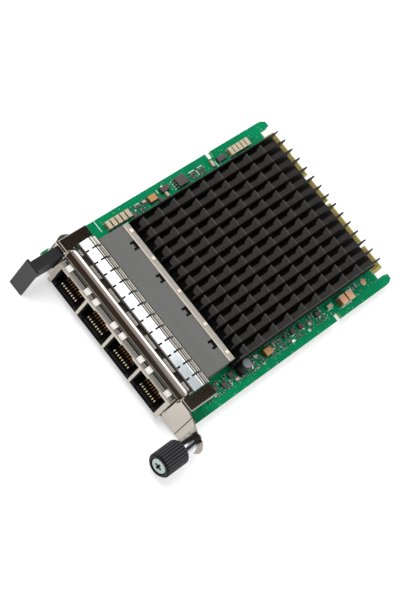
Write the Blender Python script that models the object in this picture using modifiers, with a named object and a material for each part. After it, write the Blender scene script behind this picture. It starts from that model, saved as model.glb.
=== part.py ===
"""Network adapter card with four modular jacks, built as an assembly of separate pieces.

Units are metres and +Z is up. The origin is the middle of the card-edge tongue's rear edge, halfway through
the board. +X runs along the row of ports towards the thumbscrew, -Y leads out of the ports and +Z is the
component side.
"""

from math import cos, pi, radians, sin

import bmesh
import bpy
from mathutils import Matrix

MM = 0.001

# Clearances
SEAT_GAP = 0.3 * MM
SLIP_GAP = 0.3 * MM

# Circuit board
BOARD_WIDTH = 76 * MM
BOARD_LENGTH = 115 * MM
BOARD_THICKNESS = 1.57 * MM
TONGUE_CHAMFER = 0.5 * MM
EAR_WIDTH = 3.6 * MM
EAR_NOTCH_WIDTH = 2.4 * MM
EAR_NOTCH_DEPTH = 5.25 * MM
EAR_OUTER_CHAMFER = (1.1 * MM, 2.3 * MM)
EAR_INNER_CHAMFER = (0.5 * MM, 1.6 * MM)
KEY_SLOTS = ((-10.9 * MM, 1.6 * MM), (0.95 * MM, 1.0 * MM), (20.65 * MM, 1.7 * MM))
KEY_SLOT_DEPTH = 5.2 * MM
SIDE_NOTCH_REAR = 29.95 * MM
SIDE_NOTCH_LENGTH = 2.85 * MM
SIDE_NOTCH_DEPTH = 2.4 * MM
GUIDE_HOLE_INSET = (4.7 * MM, 10.6 * MM)
GUIDE_HOLE_RADIUS = 0.6 * MM

# Jack block
PORT_COUNT = 4
PORT_WALL = 2.05 * MM
SIDE_STRIPS = 19.8 * MM
JACK_CENTRE_X = -0.6 * MM
JACK_END_WALL = 2.1 * MM
JACK_NOSE = 3.4 * MM
JACK_LENGTH = 32.5 * MM
JACK_BELOW_TOP = 2.2 * MM
JACK_ABOVE_TOP = 9.2 * MM
JACK_SINK_LENGTH = 21 * MM
SHIELD_SHEET = 0.3 * MM
SHIELD_OPENING_MARGIN = 0.5 * MM
PORT_ROOF = 1.2 * MM
LATCH_WIDTH = 5.6 * MM
LATCH_ROOF = 0.5 * MM
CAVITY_FLOOR = -0.3 * MM
CAVITY_DEPTH = 14 * MM
HOUSING_LENGTH = 17.5 * MM
NOSE_TAB_WIDTH = 2 * MM
NOSE_TAB_INSET = 1.2 * MM
NOSE_TAB_RISE = 0.4 * MM
NOSE_TAB_STEPS = 8
NOSE_PANEL_RIM = 0.8 * MM
NOSE_PANEL_LENGTH = 1.9 * MM
NOSE_PANEL_GAP = 0.15 * MM
NOSE_END_RIM = 0.6 * MM
REAR_LIP = 2.4 * MM
REAR_LIP_DROP = 0.25 * MM
CATCH_WIDTH = 1.3 * MM
CATCH_LENGTH = 1.5 * MM
CATCH_END_INSET = 3.2 * MM
LATCH_WINDOW_WIDTH = 3.4 * MM
LATCH_WINDOW_LENGTH = 2.4 * MM
LATCH_TONGUE_WIDTH = 1.5 * MM
LATCH_TONGUE_LENGTH = 1 * MM
CONTACT_COUNT = 8
CONTACT_PITCH = 1.02 * MM
CONTACT_WIDTH = 0.45 * MM
CONTACT_REACH = 7 * MM
CONTACT_RISE = 2.2 * MM
TRAY_LENGTH = 2 * MM
TRAY_HEIGHT = 1.2 * MM
MAGNETICS_REAR_GAP = 0.6 * MM
PIN_COUNT = 5
PIN_PITCH = 2.54 * MM
PIN_WIDTH = 0.5 * MM
PIN_STICK_OUT = 1 * MM
PIN_HOLE_RADIUS = 0.7 * MM

# Bracket
BRACKET_SHEET = 0.6 * MM
BRACKET_LEFT_INSET = 2 * MM
BRACKET_RIGHT_INSET = 3.2 * MM
BRACKET_BELOW_TOP = 3.1 * MM
BRACKET_ABOVE_TOP = 11.6 * MM
HOOD_RADIUS = 3.6 * MM
EDGE_RADIUS = 0.9 * MM
HOOD_BLEND_STEPS = 5
SIDE_EDGE_RADIUS = 0.5 * MM
HOOD_OVERLAP = 0.6 * MM
HOOD_FLANGE_LENGTH = 7.3 * MM
HOOD_SLOT_WIDTH = 4.2 * MM
HOOD_SLOT_LENGTH = 2.5 * MM
HOOD_SLOT_INSET = 0.8 * MM
SIDE_FLANGE_LENGTH = 13.3 * MM
LEFT_FLANGE_WIDTH = 4.3 * MM
RIGHT_FLANGE_WIDTH = 4.5 * MM
WINDOW_GAP = 0.5 * MM
FACE_OVERHANG = 1.4 * MM
FACE_SHOULDER_WIDTH = 2.8 * MM
FACE_SHOULDER_DROP = 3.1 * MM
FOLD_SCORE_GAP = 1.6 * MM
FOLD_SCORE = 0.25 * MM
FOOT_LENGTH = 5 * MM
FOOT_REACH = 4.4 * MM
FOOT_SCREW_INSET = 2.2 * MM

# Finger strip on the bracket
FINGER_COUNT = 13
END_FINGER_LEFT = 3.7 * MM
END_FINGER_RIGHT = 4.5 * MM
FINGER_SHEET = 0.3 * MM
FINGER_SLIT = 0.4 * MM
FINGER_BRIDGE = 1.2 * MM
STRIP_LENGTH = 9.8 * MM
STRIP_CREST = 0.55 * MM
STRIP_OVERLAP = 1.6 * MM
STRIP_FRONT_SLIT = 2 * MM
STRIP_FLAT = 4.6 * MM
STRIP_STEPS = 12

# Side spring
SPRING_SHEET = 0.25 * MM
SPRING_LENGTH = 6.4 * MM
SPRING_BOW = 1.2 * MM
SPRING_BOTTOM = 2.2 * MM
SPRING_TOP_GAP = 2.2 * MM
SPRING_STEPS = 8

# Pull tab
TAB_INSET = 2.8 * MM
TAB_WIDTH = 3.8 * MM
TAB_TOP_GAP = 1.6 * MM
TAB_BOTTOM = 1 * MM
TAB_REACH = 12.4 * MM
TAB_WALL = 1.2 * MM
TAB_FLANGE_LIP = 0.7 * MM
FLAG_WIDTH = 6 * MM
FLAG_HEIGHT = 15.5 * MM
FLAG_THICKNESS = 1 * MM
FLAG_ABOVE_TAB = 0.3 * MM

# Captive thumbscrew
SCREW_OFFSET = 4.1 * MM
SCREW_Z = 2.2 * MM
EAR_RADIUS = 4.6 * MM
KNOB_RADIUS = 4.5 * MM
KNOB_LENGTH = 10.5 * MM
KNOB_STAND_OFF = 5.9 * MM
KNOB_FLUTES = 26
KNOB_FLUTE_DEPTH = 0.3 * MM
KNOB_WEB = 1.8 * MM
KNOB_RECESS = 1.4 * MM
HEAD_RADIUS = 2.9 * MM
HEAD_THICKNESS = 1 * MM
RECESS_WIDTH = 0.9 * MM
RECESS_SPAN = 3 * MM
RECESS_DEPTH = 0.6 * MM
SHANK_RADIUS = 1.45 * MM
SHANK_TIP = 2.4 * MM
GROOVE_RADIUS = 0.9 * MM
FERRULE_RADIUS = 2.4 * MM
BARREL_RADIUS = 3.2 * MM
FERRULE_IN_KNOB = 1 * MM
RING_RADIUS = 3.3 * MM
RING_THICKNESS = 0.5 * MM
RING_MOUTH = 1.8 * MM
ROUND_SIDES = 28

# Heat sink
FIN_COUNT = 15
FIN_SIDE_STRIPS = 17.2 * MM
FIN_CENTRE_X = 0.2 * MM
FIN_SHEET = 0.4 * MM
FIN_FRONT_GAP = 0.5 * MM
FIN_REAR = 7.8 * MM
FIN_TOP = 10.8 * MM
ROOF_SECTIONS = 9
ROOF_REAR = 11.15 * MM
ROOF_SHORT = 1.4 * MM
ROOF_FRONT_GAP = 1.6 * MM
ROOF_GAP = 0.95 * MM
ROOF_STEP = 1.4 * MM
ROOF_SLANT = 2.6 * MM
ROOF_SHOULDER = 0.6
ROOF_NOTCH = 0.5 * MM
BASE_BOTTOM = 3 * MM
BASE_THICKNESS = 1.6 * MM
BASE_REAR = 6.4 * MM
BASE_EDGE = 0.4 * MM
BOSS_RADIUS = 2.6 * MM
BOSS_SIDE_INSET = 5 * MM
BOSS_REAR_INSET = 12.6 * MM
BOSS_FRONT_INSET = 7.4 * MM

# Small screws from below
SMALL_HEAD_RADIUS = 2.2 * MM
SMALL_HEAD_THICKNESS = 1.2 * MM
SMALL_SHANK_RADIUS = 1 * MM
SMALL_SIDES = 20

# Parts soldered on the board
CHIP_SIZE = 25 * MM
CHIP_THICKNESS = 1.6 * MM
CHIP_SHIFT = -2.1 * MM
CAPACITOR_LENGTH = 3 * MM
CAPACITOR_WIDTH = 1.8 * MM
CAPACITOR_HEIGHT = 1.6 * MM
CAPACITOR_INSET = 4.3 * MM
CAPACITORS_IN_ROW = 5
REAR_ROW_START = 14.6 * MM
REAR_ROW_PITCH = 2.2 * MM
FRONT_ROW_START = 37.3 * MM
FRONT_ROW_PITCH = 2.4 * MM
OUTPUT_INSET = (4.75 * MM, 22.5 * MM)
OUTPUT_PITCH = 3.7 * MM
OUTPUT_SIZE = (3.5 * MM, 3 * MM, 2.2 * MM)
CAN_INSET = (6 * MM, 34.6 * MM)
CAN_RADIUS = 1.8 * MM
CAN_HEIGHT = 5.2 * MM
CAN_BASE = 4 * MM
CAN_BASE_HEIGHT = 0.8 * MM
MOULDED_INSET = (5.4 * MM, 47.8 * MM)
MOULDED_SIZE = (2.6 * MM, 3.5 * MM, 1.9 * MM)
MEMORY_INSET = (3.9 * MM, 50 * MM)
MEMORY_SIZE = (3.8 * MM, 4.6 * MM, 1.5 * MM)
POWER_INSET = (3.3 * MM, 57.9 * MM)
POWER_SIZE = (2 * MM, 4 * MM, 1.2 * MM)

# Levels and planes that follow from the sizes above
BOARD_TOP = BOARD_THICKNESS / 2
BOARD_BOTTOM = -BOARD_THICKNESS / 2
BOARD_RIGHT = BOARD_WIDTH / 2
BOARD_LEFT = -BOARD_WIDTH / 2
BOARD_FRONT = -BOARD_LENGTH
TONGUE_WIDTH = BOARD_WIDTH - 2 * (EAR_WIDTH + EAR_NOTCH_WIDTH)
PORT_PITCH = (BOARD_WIDTH - SIDE_STRIPS) / PORT_COUNT
PORT_WIDTH = PORT_PITCH - PORT_WALL
PORT_TOP = JACK_ABOVE_TOP - PORT_ROOF
LATCH_TOP = JACK_ABOVE_TOP - LATCH_ROOF
NOSE_TAB_SPREAD = PORT_WIDTH - 2 * NOSE_TAB_INSET
MAGNETICS_LENGTH = JACK_LENGTH - JACK_SINK_LENGTH - 2 * SHIELD_SHEET - SEAT_GAP - MAGNETICS_REAR_GAP
JACK_FRONT = -(BOARD_LENGTH + JACK_NOSE)
JACK_REAR = JACK_FRONT + JACK_LENGTH
JACK_SINK_REAR = JACK_FRONT + JACK_SINK_LENGTH
JACK_BOTTOM = BOARD_TOP - JACK_BELOW_TOP
JACK_TOP = BOARD_TOP + JACK_ABOVE_TOP
JACK_HALF = (PORT_COUNT * PORT_PITCH) / 2 + JACK_END_WALL - PORT_WALL / 2
PORT_CENTRES = [JACK_CENTRE_X + (i - (PORT_COUNT - 1) / 2) * PORT_PITCH for i in range(PORT_COUNT)]
FACE_BACK = -(BOARD_LENGTH + SEAT_GAP)
FACE_FRONT = FACE_BACK - BRACKET_SHEET
FLANGE_TOP = BOARD_TOP + BRACKET_ABOVE_TOP
FLANGE_BOTTOM = FLANGE_TOP - BRACKET_SHEET
FACE_BOTTOM = BOARD_TOP - BRACKET_BELOW_TOP
FACE_RIGHT = BOARD_RIGHT + FACE_OVERHANG
BRACKET_LEFT = BOARD_LEFT + BRACKET_LEFT_INSET
BRACKET_RIGHT = BOARD_RIGHT - BRACKET_RIGHT_INSET
HOOD_FLANGE_REAR = FACE_FRONT + HOOD_FLANGE_LENGTH
HOOD_SLOT_REAR = HOOD_FLANGE_REAR - HOOD_SLOT_INSET
HOOD_SLOT_FRONT = HOOD_SLOT_REAR - HOOD_SLOT_LENGTH
SIDE_FLANGE_REAR = FACE_FRONT + SIDE_FLANGE_LENGTH
WINDOW_TOP = JACK_TOP + NOSE_TAB_RISE + SLIP_GAP
TAB_CENTRE_X = BRACKET_LEFT + TAB_INSET
TAB_LOW = BOARD_TOP + TAB_BOTTOM
TAB_HIGH = FLANGE_TOP - TAB_TOP_GAP
LEFT_FLANGE_EDGE = BRACKET_LEFT + LEFT_FLANGE_WIDTH
RIGHT_FLANGE_EDGE = BRACKET_RIGHT - RIGHT_FLANGE_WIDTH
STRIP_LEFT = LEFT_FLANGE_EDGE + SEAT_GAP
STRIP_RIGHT = RIGHT_FLANGE_EDGE - SEAT_GAP
FIRST_SLIT = STRIP_LEFT + END_FINGER_LEFT
FINGER_PITCH = (STRIP_RIGHT - END_FINGER_RIGHT - FIRST_SLIT) / (FINGER_COUNT - 2)
SCREW_X = BOARD_RIGHT + SCREW_OFFSET
AXIS_Z = BOARD_TOP + SCREW_Z
HOOD_LEFT = JACK_CENTRE_X - JACK_HALF - HOOD_OVERLAP
HOOD_RIGHT = JACK_CENTRE_X + JACK_HALF + HOOD_OVERLAP
FIN_PITCH = (BOARD_WIDTH - FIN_SIDE_STRIPS) / (FIN_COUNT - 1)
FIN_FRONT = JACK_REAR + FIN_FRONT_GAP
ROOF_WIDE = FIN_PITCH - ROOF_GAP
ROOF_NARROW = ROOF_WIDE - ROOF_STEP
ROOF_PITCH = (-FIN_FRONT - ROOF_FRONT_GAP - ROOF_SLANT - ROOF_NOTCH - ROOF_REAR) / ROOF_SECTIONS
FIN_XS = [FIN_CENTRE_X + (i - (FIN_COUNT - 1) / 2) * FIN_PITCH for i in range(FIN_COUNT)]
BASE_LOW = BOARD_TOP + BASE_BOTTOM
BASE_HIGH = BASE_LOW + BASE_THICKNESS
BASE_LEFT = FIN_XS[0] - FIN_SHEET / 2 - BASE_EDGE
BASE_RIGHT = FIN_XS[-1] + FIN_SHEET / 2 + BASE_EDGE
CHIP_Y = (FIN_FRONT - BASE_REAR) / 2 + CHIP_SHIFT
FOOT_MIDDLE = SIDE_FLANGE_REAR - FOOT_LENGTH / 2

# Turns a drawing plane into place: Z draws (x, y), Y draws (x, z) and X draws (y, z)
PLANES = {
    "Z": Matrix.Identity(4),
    "Y": Matrix.Rotation(pi / 2, 4, "X"),
    "X": Matrix(((0, 0, 1, 0), (1, 0, 0, 0), (0, 1, 0, 0), (0, 0, 0, 1))),
}

for leftover in list(bpy.data.objects):
    bpy.data.objects.remove(leftover, do_unlink=True)

PARTS = bpy.data.collections.new("network_adapter_card")
CUTTERS = bpy.data.collections.new("cutters")
for collection in (PARTS, CUTTERS):
    bpy.context.scene.collection.children.link(collection)


def make_material(name, colour, roughness, metallic):
    material = bpy.data.materials.new(name)
    material.use_nodes = True
    shader = material.node_tree.nodes["Principled BSDF"]
    shader.inputs["Base Color"].default_value = (*colour, 1)
    shader.inputs["Roughness"].default_value = roughness
    shader.inputs["Metallic"].default_value = metallic
    material.diffuse_color = (*colour, 1)
    return material


GREEN_BOARD = make_material("green_board", (0.0, 0.2, 0.08), 0.45, 0)
NICKEL = make_material("nickel", (0.6, 0.55, 0.48), 0.25, 1)
SPRING_STEEL = make_material("spring_steel", (0.85, 0.85, 0.85), 0.12, 1)
BLACK_PLASTIC = make_material("black_plastic", (0.012, 0.012, 0.013), 0.5, 0)
GREY_PLASTIC = make_material("grey_plastic", (0.05, 0.05, 0.053), 0.6, 0)
GOLD = make_material("gold", (0.6, 0.4, 0.12), 0.3, 1)
ZINC = make_material("zinc", (0.55, 0.62, 0.6), 0.35, 1)
BLACK_METAL = make_material("black_anodised", (0.03, 0.029, 0.028), 0.55, 0.3)
CERAMIC = make_material("ceramic", (0.45, 0.36, 0.27), 0.5, 0)
ORANGE_RESIN = make_material("orange_resin", (0.5, 0.2, 0.05), 0.5, 0)
ALUMINIUM = make_material("aluminium", (0.4, 0.42, 0.45), 0.35, 1)
GREY_PAD = make_material("thermal_pad", (0.35, 0.36, 0.4), 0.8, 0)


def add_object(name, mesh, matrix=None, material=None):
    obj = bpy.data.objects.new(name, mesh)
    PARTS.objects.link(obj)
    if matrix is not None:
        obj.matrix_world = matrix
    if material is not None:
        mesh.materials.clear()
        mesh.materials.append(material)
    return obj


def box(name, x, y, z, material=None):
    """Box between two limits on each axis."""
    shape = bmesh.new()
    bmesh.ops.create_cube(shape, size=1)
    sides = [high - low for low, high in (x, y, z)]
    bmesh.ops.scale(shape, vec=sides, verts=shape.verts)
    mesh = bpy.data.meshes.new(name)
    shape.to_mesh(mesh)
    shape.free()
    middle = [(low + high) / 2 for low, high in (x, y, z)]
    return add_object(name, mesh, Matrix.Translation(middle), material)


def prism(name, outline, axis, low, high, material=None):
    """Flat outline, drawn in the plane square to axis, filled and given its thickness along axis."""
    curve = bpy.data.curves.new(name, "CURVE")
    curve.dimensions = "2D"
    curve.fill_mode = "BOTH"
    curve.extrude = (high - low) / 2
    spline = curve.splines.new("POLY")
    spline.points.add(len(outline) - 1)
    for point, (u, v) in zip(spline.points, outline):
        point.co = (u, v, 0, 1)
    spline.use_cyclic_u = True
    drawn = bpy.data.objects.new(name + "_drawing", curve)
    PARTS.objects.link(drawn)
    graph = bpy.context.evaluated_depsgraph_get()
    mesh = bpy.data.meshes.new_from_object(drawn.evaluated_get(graph))
    bpy.data.objects.remove(drawn)
    weld = bmesh.new()
    weld.from_mesh(mesh)
    bmesh.ops.remove_doubles(weld, verts=weld.verts, dist=0.001 * MM)
    bmesh.ops.recalc_face_normals(weld, faces=weld.faces)
    weld.to_mesh(mesh)
    weld.free()
    mesh.name = name
    middle = (low + high) / 2
    along = -middle if axis == "Y" else middle
    return add_object(name, mesh, PLANES[axis] @ Matrix.Translation((0, 0, along)), material)


def loft(name, sections):
    """Solid through outlines with equal point counts, each drawn square to X at its place along X."""
    count = len(sections[0][1])
    points = [(x, y, z) for x, outline in sections for y, z in outline]
    last = len(points) - count
    faces = [range(count), range(last, last + count)]
    for start in range(0, last, count):
        for i in range(count):
            this, following = start + i, start + (i + 1) % count
            faces.append((this, following, following + count, this + count))
    mesh = bpy.data.meshes.new(name)
    mesh.from_pydata(points, [], faces)
    weld = bmesh.new()
    weld.from_mesh(mesh)
    bmesh.ops.triangulate(weld, faces=weld.faces)
    bmesh.ops.recalc_face_normals(weld, faces=weld.faces)
    weld.to_mesh(mesh)
    weld.free()
    return add_object(name, mesh)


def cylinder(name, centre, axis, low, high, radius, sides=ROUND_SIDES, material=None):
    """Round bar along axis; centre is given on the two other axes, in X, Y, Z order."""
    shape = bmesh.new()
    bmesh.ops.create_cone(
        shape, cap_ends=True, segments=sides, radius1=radius, radius2=radius, depth=high - low
    )
    mesh = bpy.data.meshes.new(name)
    shape.to_mesh(mesh)
    shape.free()
    middle = (low + high) / 2
    place = {
        "X": (middle, centre[0], centre[1]),
        "Y": (centre[0], middle, centre[1]),
        "Z": (centre[0], centre[1], middle),
    }[axis]
    return add_object(name, mesh, Matrix.Translation(place) @ PLANES[axis], material)


def turned(name, profile, place, axis, closed, sides=ROUND_SIDES, material=None):
    """Profile of (radius, distance along axis), from its far end down the outer side, spun round axis."""
    mesh = bpy.data.meshes.new(name)
    points = [(radius, 0, along) for radius, along in profile]
    edges = [(i, i + 1) for i in range(len(points) - 1)]
    if closed:
        edges.append((len(points) - 1, 0))
    mesh.from_pydata(points, edges, [])
    obj = add_object(name, mesh, Matrix.Translation(place) @ PLANES[axis], material)
    spin = obj.modifiers.new("spin", "SCREW")
    spin.axis = "Z"
    spin.steps = sides
    spin.render_steps = sides
    spin.use_merge_vertices = True
    spin.merge_threshold = 0.001 * MM
    spin.use_smooth_shade = True
    return obj


def gather(name, pieces):
    """Several shapes in one mesh, to cut or join in one go."""
    bpy.context.view_layer.update()
    together = bmesh.new()
    for piece in pieces:
        mesh = piece.data.copy()
        mesh.transform(piece.matrix_world)
        together.from_mesh(mesh)
        bpy.data.meshes.remove(mesh)
        bpy.data.objects.remove(piece)
    mesh = bpy.data.meshes.new(name)
    together.to_mesh(mesh)
    together.free()
    return add_object(name, mesh)


def combine(target, tool, operation):
    """Boolean of target with tool, which stays as a hidden guide."""
    modifier = target.modifiers.new(tool.name, "BOOLEAN")
    modifier.operation = operation
    modifier.solver = "EXACT"
    modifier.object = tool
    PARTS.objects.unlink(tool)
    CUTTERS.objects.link(tool)
    tool.hide_render = True
    tool.display_type = "WIRE"
    return target


def cut(target, *tools):
    return combine(target, gather(target.name + "_cut", tools), "DIFFERENCE")


def join(target, *tools):
    return combine(target, gather(target.name + "_join", tools), "UNION")


def arc(centre, radius, start, end, steps):
    """Points on an arc, in degrees, both ends included."""
    angles = [radians(start + (end - start) * i / steps) for i in range(steps + 1)]
    return [(centre[0] + radius * cos(a), centre[1] + radius * sin(a)) for a in angles]


def spread(middle, width):
    return (middle - width / 2, middle + width / 2)


def sheet_outline(path, thickness):
    """Outline of a thin sheet whose upper side follows path, with the other side below it."""
    lower = []
    for i, (u, v) in enumerate(path):
        before = path[max(i - 1, 0)]
        after = path[min(i + 1, len(path) - 1)]
        along = (after[0] - before[0], after[1] - before[1])
        length = (along[0] ** 2 + along[1] ** 2) ** 0.5
        lower.append((u + along[1] / length * thickness, v - along[0] / length * thickness))
    return path + lower[::-1]


def foot_screw_places():
    """Centres of the two screws that hold the bracket's feet to the board."""
    left = BRACKET_LEFT + BRACKET_SHEET + FOOT_SCREW_INSET
    right = BRACKET_RIGHT - BRACKET_SHEET - FOOT_SCREW_INSET
    return {"left": (left, FOOT_MIDDLE), "right": (right, FOOT_MIDDLE)}


def boss_places():
    xs = (BASE_LEFT + BOSS_SIDE_INSET, BASE_RIGHT - BOSS_SIDE_INSET)
    ys = (-BASE_REAR - BOSS_REAR_INSET, FIN_FRONT + BOSS_FRONT_INSET)
    return [(x, y) for y in ys for x in xs]


def pin_places(centre_x):
    first = centre_x - (PIN_COUNT - 1) / 2 * PIN_PITCH
    row_y = JACK_SINK_REAR + SHIELD_SHEET + SEAT_GAP + MAGNETICS_LENGTH / 2
    return [(first + i * PIN_PITCH, row_y + (1 if i % 2 else -1) * PIN_PITCH / 2) for i in range(PIN_COUNT)]


def make_board():
    half = BOARD_WIDTH / 2
    tongue = TONGUE_WIDTH / 2
    ear = half - EAR_WIDTH
    right = [
        (tongue - TONGUE_CHAMFER, 0),
        (tongue, -TONGUE_CHAMFER),
        (tongue, -EAR_NOTCH_DEPTH),
        (ear, -EAR_NOTCH_DEPTH),
        (ear, -EAR_INNER_CHAMFER[1]),
        (ear + EAR_INNER_CHAMFER[0], 0),
        (half - EAR_OUTER_CHAMFER[0], 0),
        (half, -EAR_OUTER_CHAMFER[1]),
        (half, -BOARD_LENGTH),
    ]
    outline = right + [(-x, y) for x, y in right[::-1]]
    board = prism("circuit_board", outline, "Z", BOARD_BOTTOM, BOARD_TOP, GREEN_BOARD)
    through = (BOARD_BOTTOM - BOARD_THICKNESS, BOARD_TOP + BOARD_THICKNESS)
    tools = [
        box("key_slot", spread(x, width), (-KEY_SLOT_DEPTH, KEY_SLOT_DEPTH), through)
        for x, width in KEY_SLOTS
    ]
    notch_y = (-SIDE_NOTCH_REAR - SIDE_NOTCH_LENGTH, -SIDE_NOTCH_REAR)
    for side in (-1, 1):
        notch_x = spread(side * half, 2 * SIDE_NOTCH_DEPTH)
        tools.append(box("side_notch", notch_x, notch_y, through))
    bay_x = spread(JACK_CENTRE_X, 2 * (JACK_HALF + SLIP_GAP))
    bay_y = (-BOARD_LENGTH - JACK_NOSE, JACK_SINK_REAR + SLIP_GAP)
    tools.append(box("jack_bay", bay_x, bay_y, through))
    for place in boss_places() + list(foot_screw_places().values()):
        radius = SMALL_SHANK_RADIUS + SLIP_GAP
        tools.append(cylinder("screw_hole", place, "Z", *through, radius, SMALL_SIDES))
    for centre_x in PORT_CENTRES:
        for place in pin_places(centre_x):
            tools.append(cylinder("pin_hole", place, "Z", *through, PIN_HOLE_RADIUS, 8))
    guide = (BOARD_LEFT + GUIDE_HOLE_INSET[0], -GUIDE_HOLE_INSET[1])
    tools.append(cylinder("guide_hole", guide, "Z", *through, GUIDE_HOLE_RADIUS, SMALL_SIDES))
    cut(board, *tools)


def jack_profile(inset, drop):
    """Side view of the jack block: its nose sinks into the board's bay and its rear sits on the board."""
    front = JACK_FRONT + inset
    rear = JACK_REAR - inset
    top = JACK_TOP - inset
    low = JACK_BOTTOM - drop
    seat = BOARD_TOP + SEAT_GAP - drop
    return [
        (front, low),
        (JACK_SINK_REAR, low),
        (JACK_SINK_REAR, seat),
        (rear, seat),
        (rear, top),
        (front, top),
    ]


def port_outline(centre_x, low, margin=0):
    """Port opening with its latch slot at the top, seen from the front, with a margin at its sides."""
    half = PORT_WIDTH / 2 + margin
    latch = LATCH_WIDTH / 2
    shoulder = BOARD_TOP + PORT_TOP
    top = BOARD_TOP + LATCH_TOP
    return [
        (centre_x - half, low),
        (centre_x + half, low),
        (centre_x + half, shoulder),
        (centre_x + latch, shoulder),
        (centre_x + latch, top),
        (centre_x - latch, top),
        (centre_x - latch, shoulder),
        (centre_x - half, shoulder),
    ]


def latch_window(centre_x, front):
    """Slot round a small locking tongue near the shield's rear edge."""
    half = LATCH_WINDOW_WIDTH / 2
    tongue = LATCH_TONGUE_WIDTH / 2
    rear = front + LATCH_WINDOW_LENGTH
    tip = front + LATCH_TONGUE_LENGTH
    outline = [
        (centre_x - half, front),
        (centre_x - tongue, front),
        (centre_x - tongue, tip),
        (centre_x + tongue, tip),
        (centre_x + tongue, front),
        (centre_x + half, front),
        (centre_x + half, rear),
        (centre_x - half, rear),
    ]
    return prism("latch_window", outline, "Z", JACK_TOP - 2 * SHIELD_SHEET, JACK_TOP + SHIELD_SHEET)


def nose_tab_places():
    """Places in x of the spring tabs over the nose, two to a port."""
    return sorted(x + side * NOSE_TAB_SPREAD / 2 for x in PORT_CENTRES for side in (-1, 1))


def nose_panels():
    """Cutters for the shallow panels between the spring tabs, from end to end of the nose."""
    half_tab = NOSE_TAB_WIDTH / 2 + NOSE_PANEL_GAP
    tabs = nose_tab_places()
    starts = [JACK_CENTRE_X - JACK_HALF + NOSE_END_RIM] + [x + half_tab for x in tabs]
    ends = [x - half_tab for x in tabs] + [JACK_CENTRE_X + JACK_HALF - NOSE_END_RIM]
    front = JACK_FRONT + NOSE_PANEL_RIM
    height = (JACK_TOP - SHIELD_SHEET / 2, JACK_TOP + SHIELD_SHEET)
    return [
        box("nose_panel", limits, (front, front + NOSE_PANEL_LENGTH), height)
        for limits in zip(starts, ends)
    ]


def make_jack_shield():
    left = JACK_CENTRE_X - JACK_HALF
    right = JACK_CENTRE_X + JACK_HALF
    shield = prism("jack_shield", jack_profile(0, 0), "X", left, right, NICKEL)
    inner = (left + SHIELD_SHEET, right - SHIELD_SHEET)
    lip_y = JACK_REAR - REAR_LIP
    cut(shield, prism("hollow", jack_profile(SHIELD_SHEET, JACK_LENGTH), "X", *inner))
    rear_part = box(
        "open_rear",
        (left - SHIELD_SHEET, right + SHIELD_SHEET),
        (lip_y, JACK_REAR + SHIELD_SHEET),
        (JACK_BOTTOM - JACK_LENGTH, JACK_TOP + SHIELD_SHEET),
    )
    cut(shield, rear_part)
    openings = [
        prism("port", port_outline(x, JACK_BOTTOM - SHIELD_SHEET, SHIELD_OPENING_MARGIN), "Y",
              JACK_FRONT - SHIELD_SHEET, JACK_FRONT + 2 * SHIELD_SHEET)
        for x in PORT_CENTRES
    ]
    window_front = lip_y - SEAT_GAP - LATCH_WINDOW_LENGTH
    windows = [latch_window(x, window_front) for x in PORT_CENTRES]
    cut(shield, *openings, *windows, *nose_panels())
    tab_front = JACK_FRONT + SHIELD_SHEET
    tab_length = JACK_NOSE - SHIELD_SHEET
    tab_root = JACK_TOP - SHIELD_SHEET / 2
    tab_height = NOSE_TAB_RISE + SHIELD_SHEET / 2
    arch = []
    for i in range(NOSE_TAB_STEPS + 1):
        share = i / NOSE_TAB_STEPS
        arch.append((tab_front + tab_length * share, tab_root + tab_height * sin(pi * share)))
    tabs = [
        prism("nose_tab", arch, "X", *spread(x, NOSE_TAB_WIDTH))
        for x in nose_tab_places()
    ]
    join(shield, *tabs)


def make_jack_rear_cover():
    """Sheet that closes the rear of the shield, with a lip on top that carries five small catches."""
    lip_front = JACK_REAR - REAR_LIP + SEAT_GAP
    top = JACK_TOP - REAR_LIP_DROP
    low = BOARD_TOP + SEAT_GAP
    outline = [
        (JACK_REAR, low),
        (JACK_REAR, top),
        (lip_front, top),
        (lip_front, top - SHIELD_SHEET),
        (JACK_REAR - SHIELD_SHEET, top - SHIELD_SHEET),
        (JACK_REAR - SHIELD_SHEET, low),
    ]
    span = spread(JACK_CENTRE_X, 2 * JACK_HALF)
    cover = prism("jack_rear_cover", outline, "X", *span, NICKEL)
    end = JACK_HALF - CATCH_END_INSET
    catch_y = spread((lip_front + JACK_REAR) / 2, CATCH_LENGTH)
    catches = [
        box("catch", spread(JACK_CENTRE_X + x, CATCH_WIDTH), catch_y, (top - SHIELD_SHEET / 2, JACK_TOP))
        for x in (-end, -PORT_PITCH, 0, PORT_PITCH, end)
    ]
    join(cover, *catches)


def tray_box(centre_x, margin):
    """Limits of a contact tray's carrier, with a margin for its pocket in the housing."""
    front = JACK_FRONT + SHIELD_SHEET + 2 * SEAT_GAP
    width = CONTACT_COUNT * CONTACT_PITCH + CONTACT_WIDTH
    top = BOARD_TOP + CAVITY_FLOOR
    return (
        spread(centre_x, width + 2 * margin),
        (front - margin, front + TRAY_LENGTH + margin),
        (top - TRAY_HEIGHT - margin, top + margin),
    )


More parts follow.
